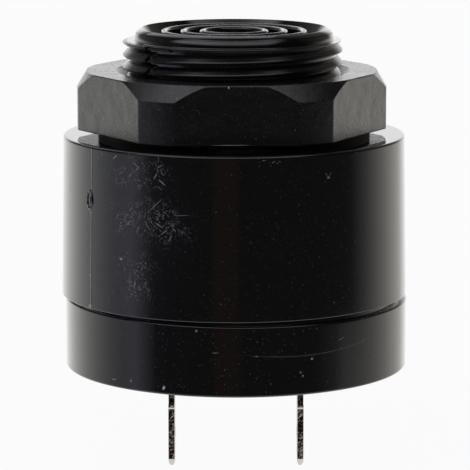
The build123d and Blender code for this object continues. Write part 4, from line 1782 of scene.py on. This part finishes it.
# %% Inner finishes
# For each finish: two tones, roughness, metallic, noise scale, bump depth in mm
FINISHES = {
    "disc_brass": ((0.55, 0.36, 0.13), (0.66, 0.46, 0.19), 0.3, 1.0, 900.0, 0.004),
    "silvered_ceramic": ((0.62, 0.61, 0.58), (0.74, 0.73, 0.7), 0.5, 0.6, 1400.0, 0.006),
    "silicone": ((0.72, 0.72, 0.7), (0.82, 0.82, 0.8), 0.45, 0.0, 500.0, 0.02),
    "board_laminate": ((0.02, 0.11, 0.035), (0.035, 0.16, 0.05), 0.4, 0.0, 1100.0, 0.008),
    "capacitor_can": ((0.6, 0.6, 0.61), (0.72, 0.72, 0.73), 0.32, 1.0, 800.0, 0.004),
    "ferrite": ((0.03, 0.03, 0.032), (0.055, 0.055, 0.058), 0.6, 0.0, 1500.0, 0.012),
    "winding_copper": ((0.42, 0.13, 0.05), (0.58, 0.2, 0.08), 0.35, 0.9, 1600.0, 0.02),
    "package_black": ((0.012, 0.012, 0.012), (0.022, 0.022, 0.022), 0.6, 0.0, 2500.0, 0.006),
    "chip_ceramic": ((0.03, 0.03, 0.032), (0.05, 0.05, 0.052), 0.35, 0.0, 2500.0, 0.004),
    "chip_tan": ((0.34, 0.22, 0.12), (0.42, 0.29, 0.17), 0.5, 0.0, 2500.0, 0.004),
    "wire_black": ((0.012, 0.012, 0.012), (0.022, 0.022, 0.022), 0.42, 0.0, 2000.0, 0.004),
    "wire_red": ((0.4, 0.015, 0.012), (0.5, 0.03, 0.02), 0.42, 0.0, 2000.0, 0.004),
    "wire_blue": ((0.015, 0.05, 0.32), (0.025, 0.08, 0.42), 0.42, 0.0, 2000.0, 0.004),
    "solder": ((0.5, 0.5, 0.5), (0.66, 0.66, 0.65), 0.28, 1.0, 2200.0, 0.01),
}


# The part of the noise that counts, and how much the roughness wanders with it
TONE_RANGE = (0.2, 0.8)
SMOOTHEST = 0.85
ROUGHEST = 1.15


def two_tone(name, first, second, roughness, metallic, scale, depth):
    """A finish of two close tones mixed by noise."""
    made, tree, coords = new_material(name)
    cloud = noise(tree, coords, scale, detail=3.0)
    sockets = {
        "Base Color": blend_colour(tree, cloud, (*first, 1.0), (*second, 1.0)),
        "Roughness": remap(tree, cloud, *TONE_RANGE, roughness * SMOOTHEST, roughness * ROUGHEST),
        "Normal": bumped(tree, cloud, depth * MM),
        "Metallic": metallic,
    }
    finish_material(tree, add(tree, "ShaderNodeBsdfPrincipled", sockets))
    return made


materials = {name: two_tone(name, *values) for name, values in FINISHES.items()}
materials.update(
    housing_plastic=HOUSING_PLASTIC,
    nut_plastic=NUT_PLASTIC,
    cover_plastic=COVER_PLASTIC,
    tinned_brass=blade_material,
)
for subpart in frame["record"]["subparts"]:
    node = frame["nodes"][subpart["node"]]
    node.data.materials.clear()
    node.data.materials.append(materials[subpart["material_slot"]])
print(len(materials), "materials on", len(frame["nodes"]), "nodes")

# %% [markdown]
# Last, each new piece is tied to the body it moves with, and the solid it stands for is hidden.

# %% Tie the pieces to the frame
HOUSING_PIECES = (
    housing_body,
    seat_boss,
    gate_mark,
    nose_thread,
    outlet_rings,
    outlet_spokes,
    outlet_centre,
    board_ribs,
)
STANDS_FOR = {
    "housing": (HOUSING_PIECES, "housing_plastic"),
    "panel_nut": ((nut_body,), "nut_plastic"),
    "rear_cover": ((cover_body,), "cover_plastic"),
    "positive_blade": ((tabs[0],), "tinned_brass"),
    "negative_blade": ((tabs[1],), "tinned_brass"),
}
for node_name, (group, slot) in STANDS_FOR.items():
    for piece in group:
        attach(piece, "root")
        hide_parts(node_name)
print("pieces:", sum(len(group) for group, slot in STANDS_FOR.values()))
